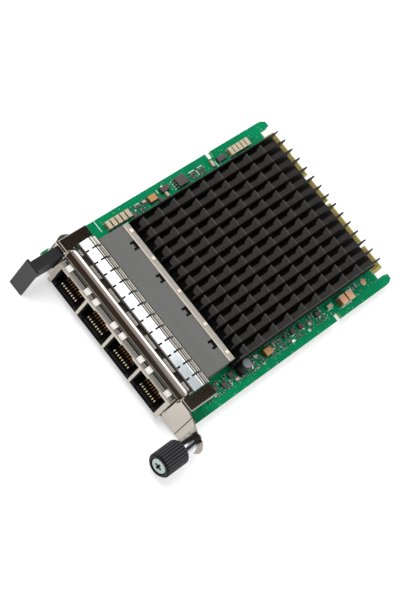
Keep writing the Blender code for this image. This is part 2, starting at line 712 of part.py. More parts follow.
def make_jack_housing():
    front = JACK_FRONT + SHIELD_SHEET + SEAT_GAP
    half = JACK_HALF - SHIELD_SHEET - SEAT_GAP
    housing = box(
        "jack_housing",
        spread(JACK_CENTRE_X, 2 * half),
        (front, front + HOUSING_LENGTH),
        (JACK_BOTTOM, JACK_TOP - SHIELD_SHEET - SEAT_GAP),
        BLACK_PLASTIC,
    )
    floor = BOARD_TOP + CAVITY_FLOOR
    cavities = [
        prism("cavity", port_outline(x, floor), "Y", front - JACK_NOSE, front + CAVITY_DEPTH)
        for x in PORT_CENTRES
    ]
    cut(housing, *cavities)
    pockets = []
    for x in PORT_CENTRES:
        (x_limits, (_, y_rear), (z_low, _)) = tray_box(x, SEAT_GAP)
        pockets.append(box("pocket", x_limits, (front - JACK_NOSE, y_rear), (z_low, floor + TRAY_HEIGHT)))
    cut(housing, *pockets)


def make_contact_trays():
    """Carrier with its contact wires, which spring up towards the rear of the cavity."""
    for number, centre_x in enumerate(PORT_CENTRES, 1):
        x_limits, y_limits, z_limits = tray_box(centre_x, 0)
        tray = box(f"contact_tray_{number}", x_limits, y_limits, z_limits, GOLD)
        root = y_limits[0] + TRAY_LENGTH / 2
        top = z_limits[1]
        tip = root + CONTACT_REACH
        path = [
            (root - CONTACT_WIDTH, top - TRAY_HEIGHT / 2),
            (root, top),
            (root + CONTACT_WIDTH, top + CONTACT_WIDTH),
            (tip, top + CONTACT_RISE),
        ]
        wires = []
        for i in range(CONTACT_COUNT):
            x = centre_x + (i - (CONTACT_COUNT - 1) / 2) * CONTACT_PITCH
            outline = sheet_outline(path, CONTACT_WIDTH)
            wires.append(prism("wire", outline, "X", *spread(x, CONTACT_WIDTH)))
        join(tray, *wires)


def make_magnetics():
    """Block of transformers behind each port, with its solder pins through the board."""
    front = JACK_SINK_REAR + SHIELD_SHEET + SEAT_GAP
    low = BOARD_TOP + 2 * SEAT_GAP
    width = PORT_PITCH - 2 * SEAT_GAP
    for number, centre_x in enumerate(PORT_CENTRES, 1):
        block = box(
            f"magnetics_{number}",
            spread(centre_x, width),
            (front, front + MAGNETICS_LENGTH),
            (low, JACK_TOP - SHIELD_SHEET - REAR_LIP_DROP - SEAT_GAP),
            BLACK_PLASTIC,
        )
        pins = []
        for x, y in pin_places(centre_x):
            reach = (BOARD_BOTTOM - PIN_STICK_OUT, low + PIN_WIDTH)
            pins.append(box("pin", spread(x, PIN_WIDTH), spread(y, PIN_WIDTH), reach))
        join(block, *pins)


def bent_sheet(radius, flange_rear):
    """Side view of the faceplate's upper part: upright, a bend of the given radius, then the flange."""
    centre = (FACE_FRONT + radius, FLANGE_TOP - radius)
    inner = radius - BRACKET_SHEET
    outer_bend = arc(centre, radius, 180, 90, 8)
    inner_bend = arc(centre, inner, 90, 180, 8)
    low = BOARD_TOP
    return (
        [(FACE_FRONT, low)]
        + outer_bend
        + [(flange_rear, FLANGE_TOP), (flange_rear, FLANGE_BOTTOM)]
        + inner_bend
        + [(FACE_BACK, low)]
    )


def face_outline():
    """Front view of the faceplate, with the ear for the thumbscrew on its right."""
    top = FLANGE_TOP - HOOD_RADIUS
    shoulder = (FACE_RIGHT, FLANGE_TOP - FACE_SHOULDER_DROP)
    shoulder_left = FACE_RIGHT - FACE_SHOULDER_WIDTH
    ear = arc((SCREW_X, AXIS_Z), EAR_RADIUS, -90, 90, 12)
    return (
        [(BRACKET_LEFT, FACE_BOTTOM), (FACE_RIGHT, FACE_BOTTOM)]
        + ear
        + [shoulder, (shoulder_left, FLANGE_TOP - EDGE_RADIUS)]
        + [(BRACKET_RIGHT, FLANGE_TOP - EDGE_RADIUS), (BRACKET_RIGHT, top), (BRACKET_LEFT, top)]
    )


def bend_places():
    """Places along X with the bend's radius there: tight at both ears, wide along the hood, blended between."""
    places = [(BRACKET_LEFT, EDGE_RADIUS)]
    shares = [i / HOOD_BLEND_STEPS for i in range(HOOD_BLEND_STEPS + 1)]
    for share in shares:
        radius = EDGE_RADIUS + (HOOD_RADIUS - EDGE_RADIUS) * (1 - cos(pi * share)) / 2
        places.append((LEFT_FLANGE_EDGE + (HOOD_LEFT - LEFT_FLANGE_EDGE) * share, radius))
    for share in reversed(shares):
        radius = EDGE_RADIUS + (HOOD_RADIUS - EDGE_RADIUS) * (1 - cos(pi * share)) / 2
        places.append((RIGHT_FLANGE_EDGE + (HOOD_RIGHT - RIGHT_FLANGE_EDGE) * share, radius))
    return places + [(BRACKET_RIGHT, EDGE_RADIUS)]


def edge_rounding(edge, inward):
    """Front view of what is cut off a flange's sharp outer edge to leave the round of its bend."""
    radius = SIDE_EDGE_RADIUS
    centre = (edge + inward * radius, FLANGE_TOP - radius)
    outside = edge - inward * radius
    above = FLANGE_TOP + radius
    bend = arc(centre, radius, 90, 180 if inward > 0 else 0, 5)
    return bend + [(outside, centre[1]), (outside, above), (centre[0], above)]


def flange_opening():
    """Plan of what is cut from the bent top: the space behind the hood, with a notch beside each ear."""
    behind = SIDE_FLANGE_REAR + BRACKET_SHEET
    return [
        (LEFT_FLANGE_EDGE, behind),
        (LEFT_FLANGE_EDGE, HOOD_SLOT_FRONT),
        (HOOD_LEFT, HOOD_SLOT_FRONT),
        (HOOD_LEFT, HOOD_FLANGE_REAR),
        (HOOD_RIGHT, HOOD_FLANGE_REAR),
        (HOOD_RIGHT, HOOD_SLOT_FRONT),
        (RIGHT_FLANGE_EDGE, HOOD_SLOT_FRONT),
        (RIGHT_FLANGE_EDGE, behind),
    ]


def make_bracket():
    bracket = prism("bracket", face_outline(), "Y", FACE_FRONT, FACE_BACK, NICKEL)
    sections = [(x, bent_sheet(radius, SIDE_FLANGE_REAR)) for x, radius in bend_places()]
    join(bracket, loft("bent_top", sections))
    wall_y = (FACE_FRONT + EDGE_RADIUS, SIDE_FLANGE_REAR)
    foot_y = (SIDE_FLANGE_REAR - FOOT_LENGTH, SIDE_FLANGE_REAR)
    foot_z = (BOARD_TOP + SEAT_GAP, BOARD_TOP + SEAT_GAP + BRACKET_SHEET)
    wall_z = (foot_z[0], FLANGE_TOP - BRACKET_SHEET / 2)
    for edge, inward in ((BRACKET_LEFT, 1), (BRACKET_RIGHT, -1)):
        inside = edge + inward * BRACKET_SHEET
        wall = box("wall", sorted((edge, inside)), wall_y, wall_z)
        join(bracket, wall)
        foot_x = sorted((inside - inward * BRACKET_SHEET / 2, inside + inward * FOOT_REACH))
        foot = box("foot", foot_x, foot_y, foot_z)
        join(bracket, foot)
    through_face = (FACE_FRONT - BRACKET_SHEET, FACE_BACK + BRACKET_SHEET)
    half_window = JACK_HALF + WINDOW_GAP
    window = box(
        "window",
        spread(JACK_CENTRE_X, 2 * half_window),
        through_face,
        (JACK_BOTTOM - SLIP_GAP, WINDOW_TOP),
    )
    slot_x = (BRACKET_LEFT - BRACKET_SHEET, TAB_CENTRE_X + TAB_WIDTH / 2 + SLIP_GAP)
    slot_z = (TAB_LOW - SLIP_GAP, TAB_HIGH + SLIP_GAP)
    slot = box("tab_slot", slot_x, through_face, slot_z)
    ferrule_hole = cylinder(
        "ferrule_hole", (SCREW_X, AXIS_Z), "Y", *through_face, FERRULE_RADIUS + SLIP_GAP
    )
    score = box(
        "fold_score",
        spread(BRACKET_RIGHT + FOLD_SCORE_GAP, FOLD_SCORE),
        (FACE_FRONT - FOLD_SCORE, FACE_FRONT + FOLD_SCORE),
        (FACE_BOTTOM - FOLD_SCORE, FLANGE_TOP),
    )
    screw_holes = [
        cylinder("foot_hole", place, "Z", foot_z[0] - SEAT_GAP, foot_z[1] + SEAT_GAP,
                 SMALL_SHANK_RADIUS + SLIP_GAP, SMALL_SIDES)
        for place in foot_screw_places().values()
    ]
    through_flange = (FLANGE_BOTTOM - BRACKET_SHEET, FLANGE_TOP + BRACKET_SHEET)
    opening = prism("opening", flange_opening(), "Z", *through_flange)
    hood_slots = [
        box(
            "hood_slot",
            spread(FIRST_SLIT + (2 * i + 0.5) * FINGER_PITCH, HOOD_SLOT_WIDTH),
            (HOOD_SLOT_FRONT, HOOD_SLOT_REAR),
            through_flange,
        )
        for i in range((FINGER_COUNT - 1) // 2)
    ]
    cut(bracket, window, slot, ferrule_hole, score, opening, *screw_holes, *hood_slots)
    rounded_y = (FACE_FRONT + EDGE_RADIUS + BRACKET_SHEET / 4, SIDE_FLANGE_REAR + BRACKET_SHEET)
    for edge, inward in ((BRACKET_LEFT, 1), (BRACKET_RIGHT, -1)):
        rounding = prism("rounding", edge_rounding(edge, inward), "Y", *rounded_y)
        cut(bracket, rounding)


def make_finger_strip():
    """Row of spring fingers that slope up from the flange and fall towards the top of the jack."""
    front = HOOD_FLANGE_REAR - STRIP_OVERLAP
    seat = FLANGE_TOP + SEAT_GAP + FINGER_SHEET
    crest = seat + STRIP_CREST
    tail = JACK_TOP + SEAT_GAP + FINGER_SHEET
    crest_end = front + STRIP_FLAT
    rear = front + STRIP_LENGTH
    path = [(front, seat), (crest_end, crest)]
    for i in range(1, STRIP_STEPS + 1):
        share = i / STRIP_STEPS
        height = tail + (crest - tail) * (1 + cos(pi * share)) / 2
        path.append((crest_end + (rear - crest_end) * share, height))
    outline = sheet_outline(path, FINGER_SHEET)
    strip = prism("emi_finger_strip", outline, "X", STRIP_LEFT, STRIP_RIGHT, SPRING_STEEL)
    slits = []
    bridge = front + STRIP_FRONT_SLIT
    slit_z = (tail - 2 * FINGER_SHEET, crest + FINGER_SHEET)
    for i in range(FINGER_COUNT - 1):
        slit_x = spread(FIRST_SLIT + i * FINGER_PITCH, FINGER_SLIT)
        slits.append(box("slit", slit_x, (bridge + FINGER_BRIDGE, rear + FINGER_SLIT), slit_z))
        slits.append(box("slit", slit_x, (front + FINGER_SLIT, bridge), slit_z))
    cut(strip, *slits)


def make_side_spring():
    """Bowed contact spring on the bracket's left wall."""
    seat = BRACKET_LEFT - SEAT_GAP
    middle = FACE_BACK + BRACKET_SHEET + SPRING_LENGTH / 2
    path = []
    for i in range(SPRING_STEPS + 1):
        share = i / SPRING_STEPS
        bow = SPRING_BOW * sin(pi * share)
        path.append((seat - SPRING_SHEET - bow, middle - SPRING_LENGTH / 2 + SPRING_LENGTH * share))
    outline = sheet_outline(path, SPRING_SHEET)
    high = FLANGE_TOP - SPRING_TOP_GAP
    prism("side_spring", outline, "Z", BOARD_TOP + SPRING_BOTTOM, high, SPRING_STEEL)


def make_pull_tab():
    """Channel-shaped plastic tab with a grip plate in front and a retaining lip behind the faceplate."""
    low = TAB_LOW
    high = TAB_HIGH
    front = FACE_FRONT - TAB_REACH
    lip_front = FACE_BACK + SEAT_GAP
    lip_rear = lip_front + TAB_WALL
    tab = box("pull_tab", spread(TAB_CENTRE_X, TAB_WIDTH), (front, lip_rear), (low, high), GREY_PLASTIC)
    groove = box(
        "groove",
        spread(TAB_CENTRE_X, TAB_WIDTH - 2 * TAB_WALL),
        (front + FLAG_THICKNESS, FACE_FRONT - TAB_WALL),
        (low - TAB_WALL, high - TAB_WALL),
    )
    cut(tab, groove)
    flag_top = high + FLAG_ABOVE_TAB
    flag = box(
        "flag",
        spread(TAB_CENTRE_X, FLAG_WIDTH),
        (front - FLAG_THICKNESS / 2, front + FLAG_THICKNESS / 2),
        (flag_top - FLAG_HEIGHT, flag_top),
    )
    lip = box(
        "lip",
        (TAB_CENTRE_X - TAB_WIDTH / 2, TAB_CENTRE_X + TAB_WIDTH / 2 + TAB_FLANGE_LIP),
        (lip_front, lip_rear),
        (low - TAB_FLANGE_LIP / 2, high - 2 * TAB_FLANGE_LIP),
    )
    join(tab, flag, lip)


def knob_outline():
    """Front view of the knob: a circle with straight flutes."""
    points = []
    for i in range(4 * KNOB_FLUTES):
        angle = 2 * pi * i / (4 * KNOB_FLUTES)
        radius = KNOB_RADIUS - (KNOB_FLUTE_DEPTH if i % 4 in (0, 1) else 0)
        points.append((SCREW_X + radius * cos(angle), AXIS_Z + radius * sin(angle)))
    return points


def make_thumbscrew():
    """Captive screw: the fluted knob and its screw turn and slide in a ferrule fixed to the ear."""
    centre = (SCREW_X, AXIS_Z)
    knob_rear = FACE_FRONT - KNOB_STAND_OFF
    knob_front = knob_rear - KNOB_LENGTH
    web_front = knob_front + KNOB_RECESS
    web_rear = web_front + KNOB_WEB
    knob = prism("thumbscrew_knob", knob_outline(), "Y", knob_front, knob_rear, GREY_PLASTIC)
    past = KNOB_RECESS
    cut(
        knob,
        cylinder("bore", centre, "Y", web_rear, knob_rear + past, BARREL_RADIUS + SLIP_GAP),
        cylinder("recess", centre, "Y", knob_front - past, web_front, HEAD_RADIUS + SLIP_GAP),
    )
    cut(knob, cylinder("hole", centre, "Y", knob_front, knob_rear, SHANK_RADIUS + SLIP_GAP))

    head_rear = web_front - SEAT_GAP
    head_front = head_rear - HEAD_THICKNESS
    ring_front = FACE_BACK + SEAT_GAP
    ring_rear = ring_front + RING_THICKNESS
    tip = ring_rear + SHANK_TIP
    profile = [
        (0, -head_front),
        (HEAD_RADIUS, -head_front),
        (HEAD_RADIUS, -head_rear),
        (SHANK_RADIUS, -head_rear),
        (SHANK_RADIUS, -ring_front + SEAT_GAP),
        (GROOVE_RADIUS, -ring_front + SEAT_GAP),
        (GROOVE_RADIUS, -ring_rear - SEAT_GAP),
        (SHANK_RADIUS, -ring_rear - SEAT_GAP),
        (SHANK_RADIUS, -tip + SHANK_RADIUS / 2),
        (SHANK_RADIUS / 2, -tip),
        (0, -tip),
    ]
    place = (SCREW_X, 0, AXIS_Z)
    screw = turned("thumbscrew_screw", profile, place, "Y", False, material=ZINC)
    slots = [
        box("cross", spread(SCREW_X, span_x), (head_front - RECESS_DEPTH, head_front + RECESS_DEPTH),
            spread(AXIS_Z, span_z))
        for span_x, span_z in ((RECESS_SPAN, RECESS_WIDTH), (RECESS_WIDTH, RECESS_SPAN))
    ]
    for slot in slots:
        cut(screw, slot)

    barrel_rear = FACE_FRONT - SEAT_GAP
    ferrule_front = knob_rear - FERRULE_IN_KNOB
    bore = SHANK_RADIUS + SLIP_GAP
    profile = [
        (bore, -ferrule_front),
        (BARREL_RADIUS, -ferrule_front),
        (BARREL_RADIUS, -barrel_rear),
        (FERRULE_RADIUS, -barrel_rear),
        (FERRULE_RADIUS, -FACE_BACK),
        (bore, -FACE_BACK),
    ]
    turned("thumbscrew_ferrule", profile, place, "Y", True, material=SPRING_STEEL)

    ring = cylinder("retaining_ring", centre, "Y", ring_front, ring_rear, RING_RADIUS, material=SPRING_STEEL)
    gap_y = (ring_front - RING_THICKNESS, ring_rear + RING_THICKNESS)
    cut(ring, cylinder("ring_bore", centre, "Y", *gap_y, GROOVE_RADIUS + SLIP_GAP))
    mouth = box("ring_mouth", spread(SCREW_X, RING_MOUTH), gap_y, (AXIS_Z - 2 * RING_RADIUS, AXIS_Z))
    cut(ring, mouth)


def make_heat_sink_base():
    """Plate under the fins, with a boss for each mounting screw."""
    span = (BASE_LEFT, BASE_RIGHT)
    base = box("heat_sink_base", span, (FIN_FRONT, -BASE_REAR), (BASE_LOW, BASE_HIGH), BLACK_METAL)
    boss_low = BOARD_TOP + SEAT_GAP
    bosses = [
        cylinder("boss", place, "Z", boss_low, BASE_LOW + BASE_THICKNESS / 2, BOSS_RADIUS, SMALL_SIDES)
        for place in boss_places()
    ]
    join(base, *bosses)
    holes = [
        cylinder("boss_hole", place, "Z", BOARD_BOTTOM, BASE_LOW, SMALL_SHANK_RADIUS + SLIP_GAP, SMALL_SIDES)
        for place in boss_places()
    ]
    cut(base, *holes)


def roof_outline():
    """Plan of a fin's folded roof: in each section its free edge steps out, slants back and steps in."""
    rear = -ROOF_REAR
    shoulder = ROOF_WIDE - ROOF_STEP * ROOF_SHOULDER
    points = [(0, rear - ROOF_SHORT), (-ROOF_NARROW, rear - ROOF_SHORT)]
    for i in range(1, ROOF_SECTIONS + 1):
        line = rear - i * ROOF_PITCH
        slant_end = line - ROOF_SLANT
        points += [(-ROOF_NARROW, line), (-ROOF_WIDE, line), (-shoulder, slant_end)]
        points.append((-ROOF_NARROW, slant_end - ROOF_NOTCH))
    return points + [(0, points[-1][1])]


def make_fins():
    """Folded sheets on the base, each with a roof towards its left neighbour; the first has none."""
    low = BASE_HIGH + SEAT_GAP
    high = BOARD_TOP + FIN_TOP
    for number, x in enumerate(FIN_XS, 1):
        web_x = spread(x, FIN_SHEET)
        fin = box(f"heat_sink_fin_{number:02d}", web_x, (FIN_FRONT, -FIN_REAR), (low, high), BLACK_METAL)
        if number > 1:
            outline = [(x + u, v) for u, v in roof_outline()]
            join(fin, prism("roof", outline, "Z", high - FIN_SHEET, high))


def small_screw(name, place, tip):
    """Pan-head screw driven up through the board from below."""
    head_top = BOARD_BOTTOM - SEAT_GAP
    head_low = head_top - SMALL_HEAD_THICKNESS
    profile = [
        (0, tip),
        (SMALL_SHANK_RADIUS, tip),
        (SMALL_SHANK_RADIUS, head_top),
        (SMALL_HEAD_RADIUS, head_top),
        (SMALL_HEAD_RADIUS, head_low + SMALL_HEAD_THICKNESS / 2),
        (SMALL_HEAD_RADIUS - SMALL_HEAD_THICKNESS / 2, head_low),
        (0, head_low),
    ]
    turned(name, profile, (*place, 0), "Z", False, SMALL_SIDES, ZINC)


def make_screws():
    for number, place in enumerate(boss_places(), 1):
        small_screw(f"heat_sink_screw_{number}", place, BASE_LOW - SEAT_GAP)
    for side, place in foot_screw_places().items():
        small_screw(f"bracket_screw_{side}", place, BOARD_TOP + SEAT_GAP + 2 * BRACKET_SHEET)


def soldered_block(name, place, size, material):
    """Rectangular part on the board's upper face."""
    low = BOARD_TOP + SEAT_GAP
    return box(name, spread(place[0], size[0]), spread(place[1], size[1]), (low, low + size[2]), material)


def make_board_parts():
    chip_low = BOARD_TOP + SEAT_GAP
    chip_high = chip_low + CHIP_THICKNESS
    chip_x = spread(FIN_CENTRE_X, CHIP_SIZE)
    chip_y = spread(CHIP_Y, CHIP_SIZE)
    box("controller_chip", chip_x, chip_y, (chip_low, chip_high), BLACK_PLASTIC)
    box("thermal_pad", chip_x, chip_y, (chip_high + SEAT_GAP, BASE_LOW - SEAT_GAP), GREY_PAD)
    size = (CAPACITOR_LENGTH, CAPACITOR_WIDTH, CAPACITOR_HEIGHT)
    number = 0
    rows = ((-REAR_ROW_START, REAR_ROW_PITCH), (BOARD_FRONT + FRONT_ROW_START, FRONT_ROW_PITCH))
    for first, pitch in rows:
        for i in range(CAPACITORS_IN_ROW):
            number += 1
            place = (BOARD_LEFT + CAPACITOR_INSET, first - i * pitch)
            soldered_block(f"chip_capacitor_{number:02d}", place, size, CERAMIC)
    for i in range(2):
        place = (BOARD_RIGHT - OUTPUT_INSET[0], -OUTPUT_INSET[1] - i * OUTPUT_PITCH)
        soldered_block(f"output_capacitor_{i + 1}", place, OUTPUT_SIZE, CERAMIC)
    moulded = (BOARD_RIGHT - MOULDED_INSET[0], BOARD_FRONT + MOULDED_INSET[1])
    soldered_block("moulded_capacitor", moulded, MOULDED_SIZE, ORANGE_RESIN)
    memory = (BOARD_LEFT + MEMORY_INSET[0], -MEMORY_INSET[1])
    soldered_block("memory_chip", memory, MEMORY_SIZE, BLACK_PLASTIC)
    power = (BOARD_LEFT + POWER_INSET[0], -POWER_INSET[1])
    soldered_block("power_chip", power, POWER_SIZE, BLACK_PLASTIC)
    can_place = (BOARD_RIGHT - CAN_INSET[0], BOARD_FRONT + CAN_INSET[1])
    can_low = BOARD_TOP + SEAT_GAP
    base_size = (CAN_BASE, CAN_BASE, CAN_BASE_HEIGHT)
    can = soldered_block("electrolytic_capacitor", can_place, base_size, ALUMINIUM)
    can_top = can_low + CAN_HEIGHT
    sleeve_low = can_low + CAN_BASE_HEIGHT / 2
    join(can, cylinder("can", can_place, "Z", sleeve_low, can_top, CAN_RADIUS, SMALL_SIDES))


make_board()
make_jack_shield()
make_jack_rear_cover()
make_jack_housing()
make_contact_trays()
make_magnetics()
make_bracket()
make_finger_strip()
make_side_spring()
make_pull_tab()
make_thumbscrew()
make_heat_sink_base()
make_fins()
make_screws()
make_board_parts()
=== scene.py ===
"""Looks for a plug-in network adapter card with four modular jacks.

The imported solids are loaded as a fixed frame. Smooth sheets, small board parts and procedural finishes are
added to it, each riding on the body that carries it. Shapes are worked out in millimetres and become metres
when they are put into a mesh.
"""

from math import pi, radians

import bmesh
import bpy
import numpy as np
from mathutils import Matrix, Vector


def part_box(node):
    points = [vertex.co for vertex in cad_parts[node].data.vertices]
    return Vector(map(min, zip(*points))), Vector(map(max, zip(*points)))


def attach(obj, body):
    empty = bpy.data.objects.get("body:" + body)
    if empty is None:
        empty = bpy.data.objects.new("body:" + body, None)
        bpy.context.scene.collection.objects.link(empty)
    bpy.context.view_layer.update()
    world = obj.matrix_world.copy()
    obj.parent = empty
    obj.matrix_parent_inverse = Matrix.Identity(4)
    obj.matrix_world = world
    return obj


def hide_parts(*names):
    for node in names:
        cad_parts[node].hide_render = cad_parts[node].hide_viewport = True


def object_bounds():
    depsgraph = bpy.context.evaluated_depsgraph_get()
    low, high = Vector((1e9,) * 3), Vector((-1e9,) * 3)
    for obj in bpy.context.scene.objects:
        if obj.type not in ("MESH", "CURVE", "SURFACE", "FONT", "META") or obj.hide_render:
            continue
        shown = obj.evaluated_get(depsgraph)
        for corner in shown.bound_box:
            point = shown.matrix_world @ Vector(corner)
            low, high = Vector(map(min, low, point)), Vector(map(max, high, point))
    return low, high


bl_info = {
    "name": "Network adapter card",
    "version": (1, 0, 0),
    "blender": (4, 5, 0),
    "location": "View3D > Sidebar > Card",
    "description": "Dresses the solids of a network adapter card with fine surfaces and finishes",
    "category": "Object",
}

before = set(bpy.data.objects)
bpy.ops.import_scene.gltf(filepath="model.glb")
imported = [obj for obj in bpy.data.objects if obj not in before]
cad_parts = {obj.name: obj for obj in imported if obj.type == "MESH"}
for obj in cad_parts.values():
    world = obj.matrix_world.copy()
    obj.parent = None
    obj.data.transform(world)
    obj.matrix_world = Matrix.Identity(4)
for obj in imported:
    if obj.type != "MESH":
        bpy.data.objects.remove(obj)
CAD_BOX = [list(corner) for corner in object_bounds()]

MM = 0.001


def box(node):
    """Low and high corner of a solid's box, in millimetres."""
    return [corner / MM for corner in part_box(node)]


def middle(node):
    """Middle of a solid's box, in millimetres."""
    low, high = box(node)
    return (low + high) / 2


# Sizes that several pieces share, in millimetres
BOARD_BOTTOM, BOARD_TOP = (corner.z for corner in box("circuit_board"))
KEY_SLOTS = ((-10.9, 1.6), (0.95, 1.0), (20.65, 1.7))
PORTS = np.array([middle(f"contact_tray_{i}").x for i in (1, 2, 3, 4)])
PORT_PITCH = PORTS[1] - PORTS[0]
TRAY_HEIGHT = 1.2
NOSE_TAB_RISE = 0.4
FACE_FRONT = box("bracket")[0].y
FOLD_X = 36.4
FINS = [f"heat_sink_fin_{i:02d}" for i in range(1, 16)]
ROOF_COUNT = 9
ROOF_START = -11.15
ROOF_PITCH = 69.55 / ROOF_COUNT
CHIP_CAPACITORS = [f"chip_capacitor_{i:02d}" for i in range(1, 11)]
OUTPUT_CAPACITORS = ["output_capacitor_1", "output_capacitor_2"]
SCREWS = [*(f"heat_sink_screw_{i}" for i in (1, 2, 3, 4)), "bracket_screw_left", "bracket_screw_right"]


class BoardLook(bpy.types.PropertyGroup):
    """Sizes and colours of the circuit board and its plating"""

    mask: bpy.props.FloatVectorProperty(
        name="Solder mask", description="Colour of the lacquer over copper", subtype="COLOR",
        size=3, min=0, max=1, default=(0.0, 0.168, 0.068),
    )
    finger_pitch: bpy.props.FloatProperty(
        name="Finger pitch", description="Distance between edge contacts", unit="LENGTH", default=0.6 * MM,
    )
    finger_width: bpy.props.FloatProperty(
        name="Finger width", description="Width of an edge contact", unit="LENGTH", default=0.42 * MM,
    )
    finger_length: bpy.props.FloatProperty(
        name="Finger length", description="Length of an edge contact", unit="LENGTH", default=4.3 * MM,
    )
    gold: bpy.props.FloatVectorProperty(
        name="Gold", description="Colour of plated contacts", subtype="COLOR",
        size=3, min=0, max=1, default=(0.62, 0.43, 0.14),
    )


class MetalLook(bpy.types.PropertyGroup):
    """Colours and thicknesses of the sheet-metal pieces"""

    nickel: bpy.props.FloatVectorProperty(
        name="Nickel", description="Colour of the plated bracket", subtype="COLOR",
        size=3, min=0, max=1, default=(0.53, 0.485, 0.43),
    )
    plate: bpy.props.FloatVectorProperty(
        name="Jack plate", description="Colour of the brushed jack shell", subtype="COLOR",
        size=3, min=0, max=1, default=(0.17, 0.17, 0.16),
    )
    anodised: bpy.props.FloatVectorProperty(
        name="Heat sink", description="Colour of the black heat sink", subtype="COLOR",
        size=3, min=0, max=1, default=(0.0135, 0.0125, 0.0118),
    )
    fin_sheet: bpy.props.FloatProperty(
        name="Fin sheet", description="Thickness of a fin", unit="LENGTH", default=0.4 * MM,
    )
    fin_bend: bpy.props.FloatProperty(
        name="Fin bend", description="Outer radius of the fold along a fin's top", unit="LENGTH",
        default=0.55 * MM,
    )


class ThumbscrewLook(bpy.types.PropertyGroup):
    """Shape and colour of the knob"""

    flutes: bpy.props.IntProperty(
        name="Flutes", description="Grooves round the knob", min=6, max=40, default=26,
    )
    flute_depth: bpy.props.FloatProperty(
        name="Flute depth", description="Depth of a groove", unit="LENGTH", default=0.3 * MM,
    )
    charcoal: bpy.props.FloatVectorProperty(
        name="Charcoal", description="Colour of the knob and the pull tab", subtype="COLOR",
        size=3, min=0, max=1, default=(0.022, 0.022, 0.024),
    )


class StageLook(bpy.types.PropertyGroup):
    """Floor, light and camera"""

    floor: bpy.props.FloatVectorProperty(
        name="Floor", description="Colour of the floor", subtype="COLOR",
        size=3, min=0, max=1, default=(0.93, 0.93, 0.93),
    )
    fill: bpy.props.FloatProperty(
        name="Fill", description="Strength of the even light from all round", min=0, default=0.62,
    )
    key: bpy.props.FloatProperty(
        name="Key", description="Power of the large lamp", subtype="POWER", default=9.0,
    )
    azimuth: bpy.props.FloatProperty(
        name="Azimuth", description="Camera's turn towards the thumbscrew", subtype="ANGLE",
        default=radians(9.37),
    )
    elevation: bpy.props.FloatProperty(
        name="Elevation", description="Camera's height angle", subtype="ANGLE", default=radians(51.76),
    )
    roll: bpy.props.FloatProperty(
        name="Roll", description="Camera's turn about its own axis", subtype="ANGLE", default=radians(44.35),
    )
    distance: bpy.props.FloatProperty(
        name="Distance", description="From the camera to its target", unit="LENGTH", default=0.639,
    )
    lens: bpy.props.FloatProperty(
        name="Lens", description="Focal length for a sensor 36 mm high", unit="CAMERA", default=113.5,
    )


# Meshes


def grid_faces(rows, columns, wrap=False):
    """Quads between neighbouring points of a grid; wrap joins the last column to the first."""
    index = np.arange(rows * columns).reshape(rows, columns)
    if wrap:
        index = np.hstack([index, index[:, :1]])
    corners = (index[:-1, :-1], index[:-1, 1:], index[1:, 1:], index[1:, :-1])
    return np.stack(corners, -1).reshape(-1, 4)


def gather(shapes):
    """Several sets of points and faces in one, with the face numbers moved along."""
    points, faces, start = [], [], 0
    for part_points, part_faces in shapes:
        part_points = np.asarray(part_points, float).reshape(-1, 3)
        points.append(part_points)
        faces += [[n + start for n in face] for face in part_faces]
        start += len(part_points)
    return np.vstack(points), faces


def thick_sheet(grid, kept, thickness):
    """Closed sheet: the kept quads of a grid, the same ones moved back along the normal, and a wall between
    the two along every free edge."""
    rows, columns = grid.shape[:2]
    normal = np.cross(np.gradient(grid, axis=1), np.gradient(grid, axis=0))
    normal /= np.linalg.norm(normal, axis=-1, keepdims=True)
    normal *= np.where(normal[..., 2].sum() < 0, -1.0, 1.0)
    points = np.concatenate([grid.reshape(-1, 3), (grid - thickness * normal).reshape(-1, 3)])
    behind = rows * columns
    cells = grid_faces(rows, columns)[kept.ravel()]
    index = np.arange(behind).reshape(rows, columns)
    room = np.pad(kept, 1)
    along = room[:-1, 1:-1] != room[1:, 1:-1]
    across = room[1:-1, :-1] != room[1:-1, 1:]
    start = np.concatenate([index[:, :-1][along], index[:-1, :][across]])
    end = np.concatenate([index[:, 1:][along], index[1:, :][across]])
    walls = np.stack([start, end, end + behind, start + behind], -1)
    faces = np.vstack([cells, cells[:, ::-1] + behind, walls])
    used, compact = np.unique(faces, return_inverse=True)
    return points[used], compact.reshape(-1, 4)


def wires(path, places, width, height):
    """Flat wires: a rectangle with cut corners carried square to a path of (y, z), once at each x."""
    along = np.gradient(path, axis=0)
    along /= np.linalg.norm(along, axis=1, keepdims=True)
    side = np.array([-0.5, -0.3, 0.3, 0.5, 0.5, 0.3, -0.3, -0.5]) * width
    up = np.array([0.25, 0.5, 0.5, 0.25, -0.25, -0.5, -0.5, -0.25]) * height
    y = path[:, :1] - along[:, 1:] * up
    z = path[:, 1:] + along[:, :1] * up
    x = np.broadcast_to(side, y.shape)
    faces = grid_faces(len(path), 8, wrap=True).tolist()
    faces += [list(range(8)), list(range(8 * len(path) - 8, 8 * len(path)))]
    return gather([(np.stack([place + x, y, z], -1), faces) for place in places])


def box_faces():
    """Quads and corner triangles of a chamfered box. Point number: three times the corner, plus the axis."""
    weight = (4, 2, 1)
    quads = []
    for axis in range(3):
        b, c = [a for a in range(3) if a != axis]
        for end in (0, 1):
            ring = ((0, 0), (1, 0), (1, 1), (0, 1))
            quads.append([3 * (end * weight[axis] + u * weight[b] + v * weight[c]) + axis for u, v in ring])
        for u, v in ((0, 0), (0, 1), (1, 0), (1, 1)):
            near = u * weight[b] + v * weight[c]
            far = near + weight[axis]
            quads.append([3 * near + b, 3 * far + b, 3 * far + c, 3 * near + c])
    return np.array(quads), np.arange(24).reshape(8, 3)


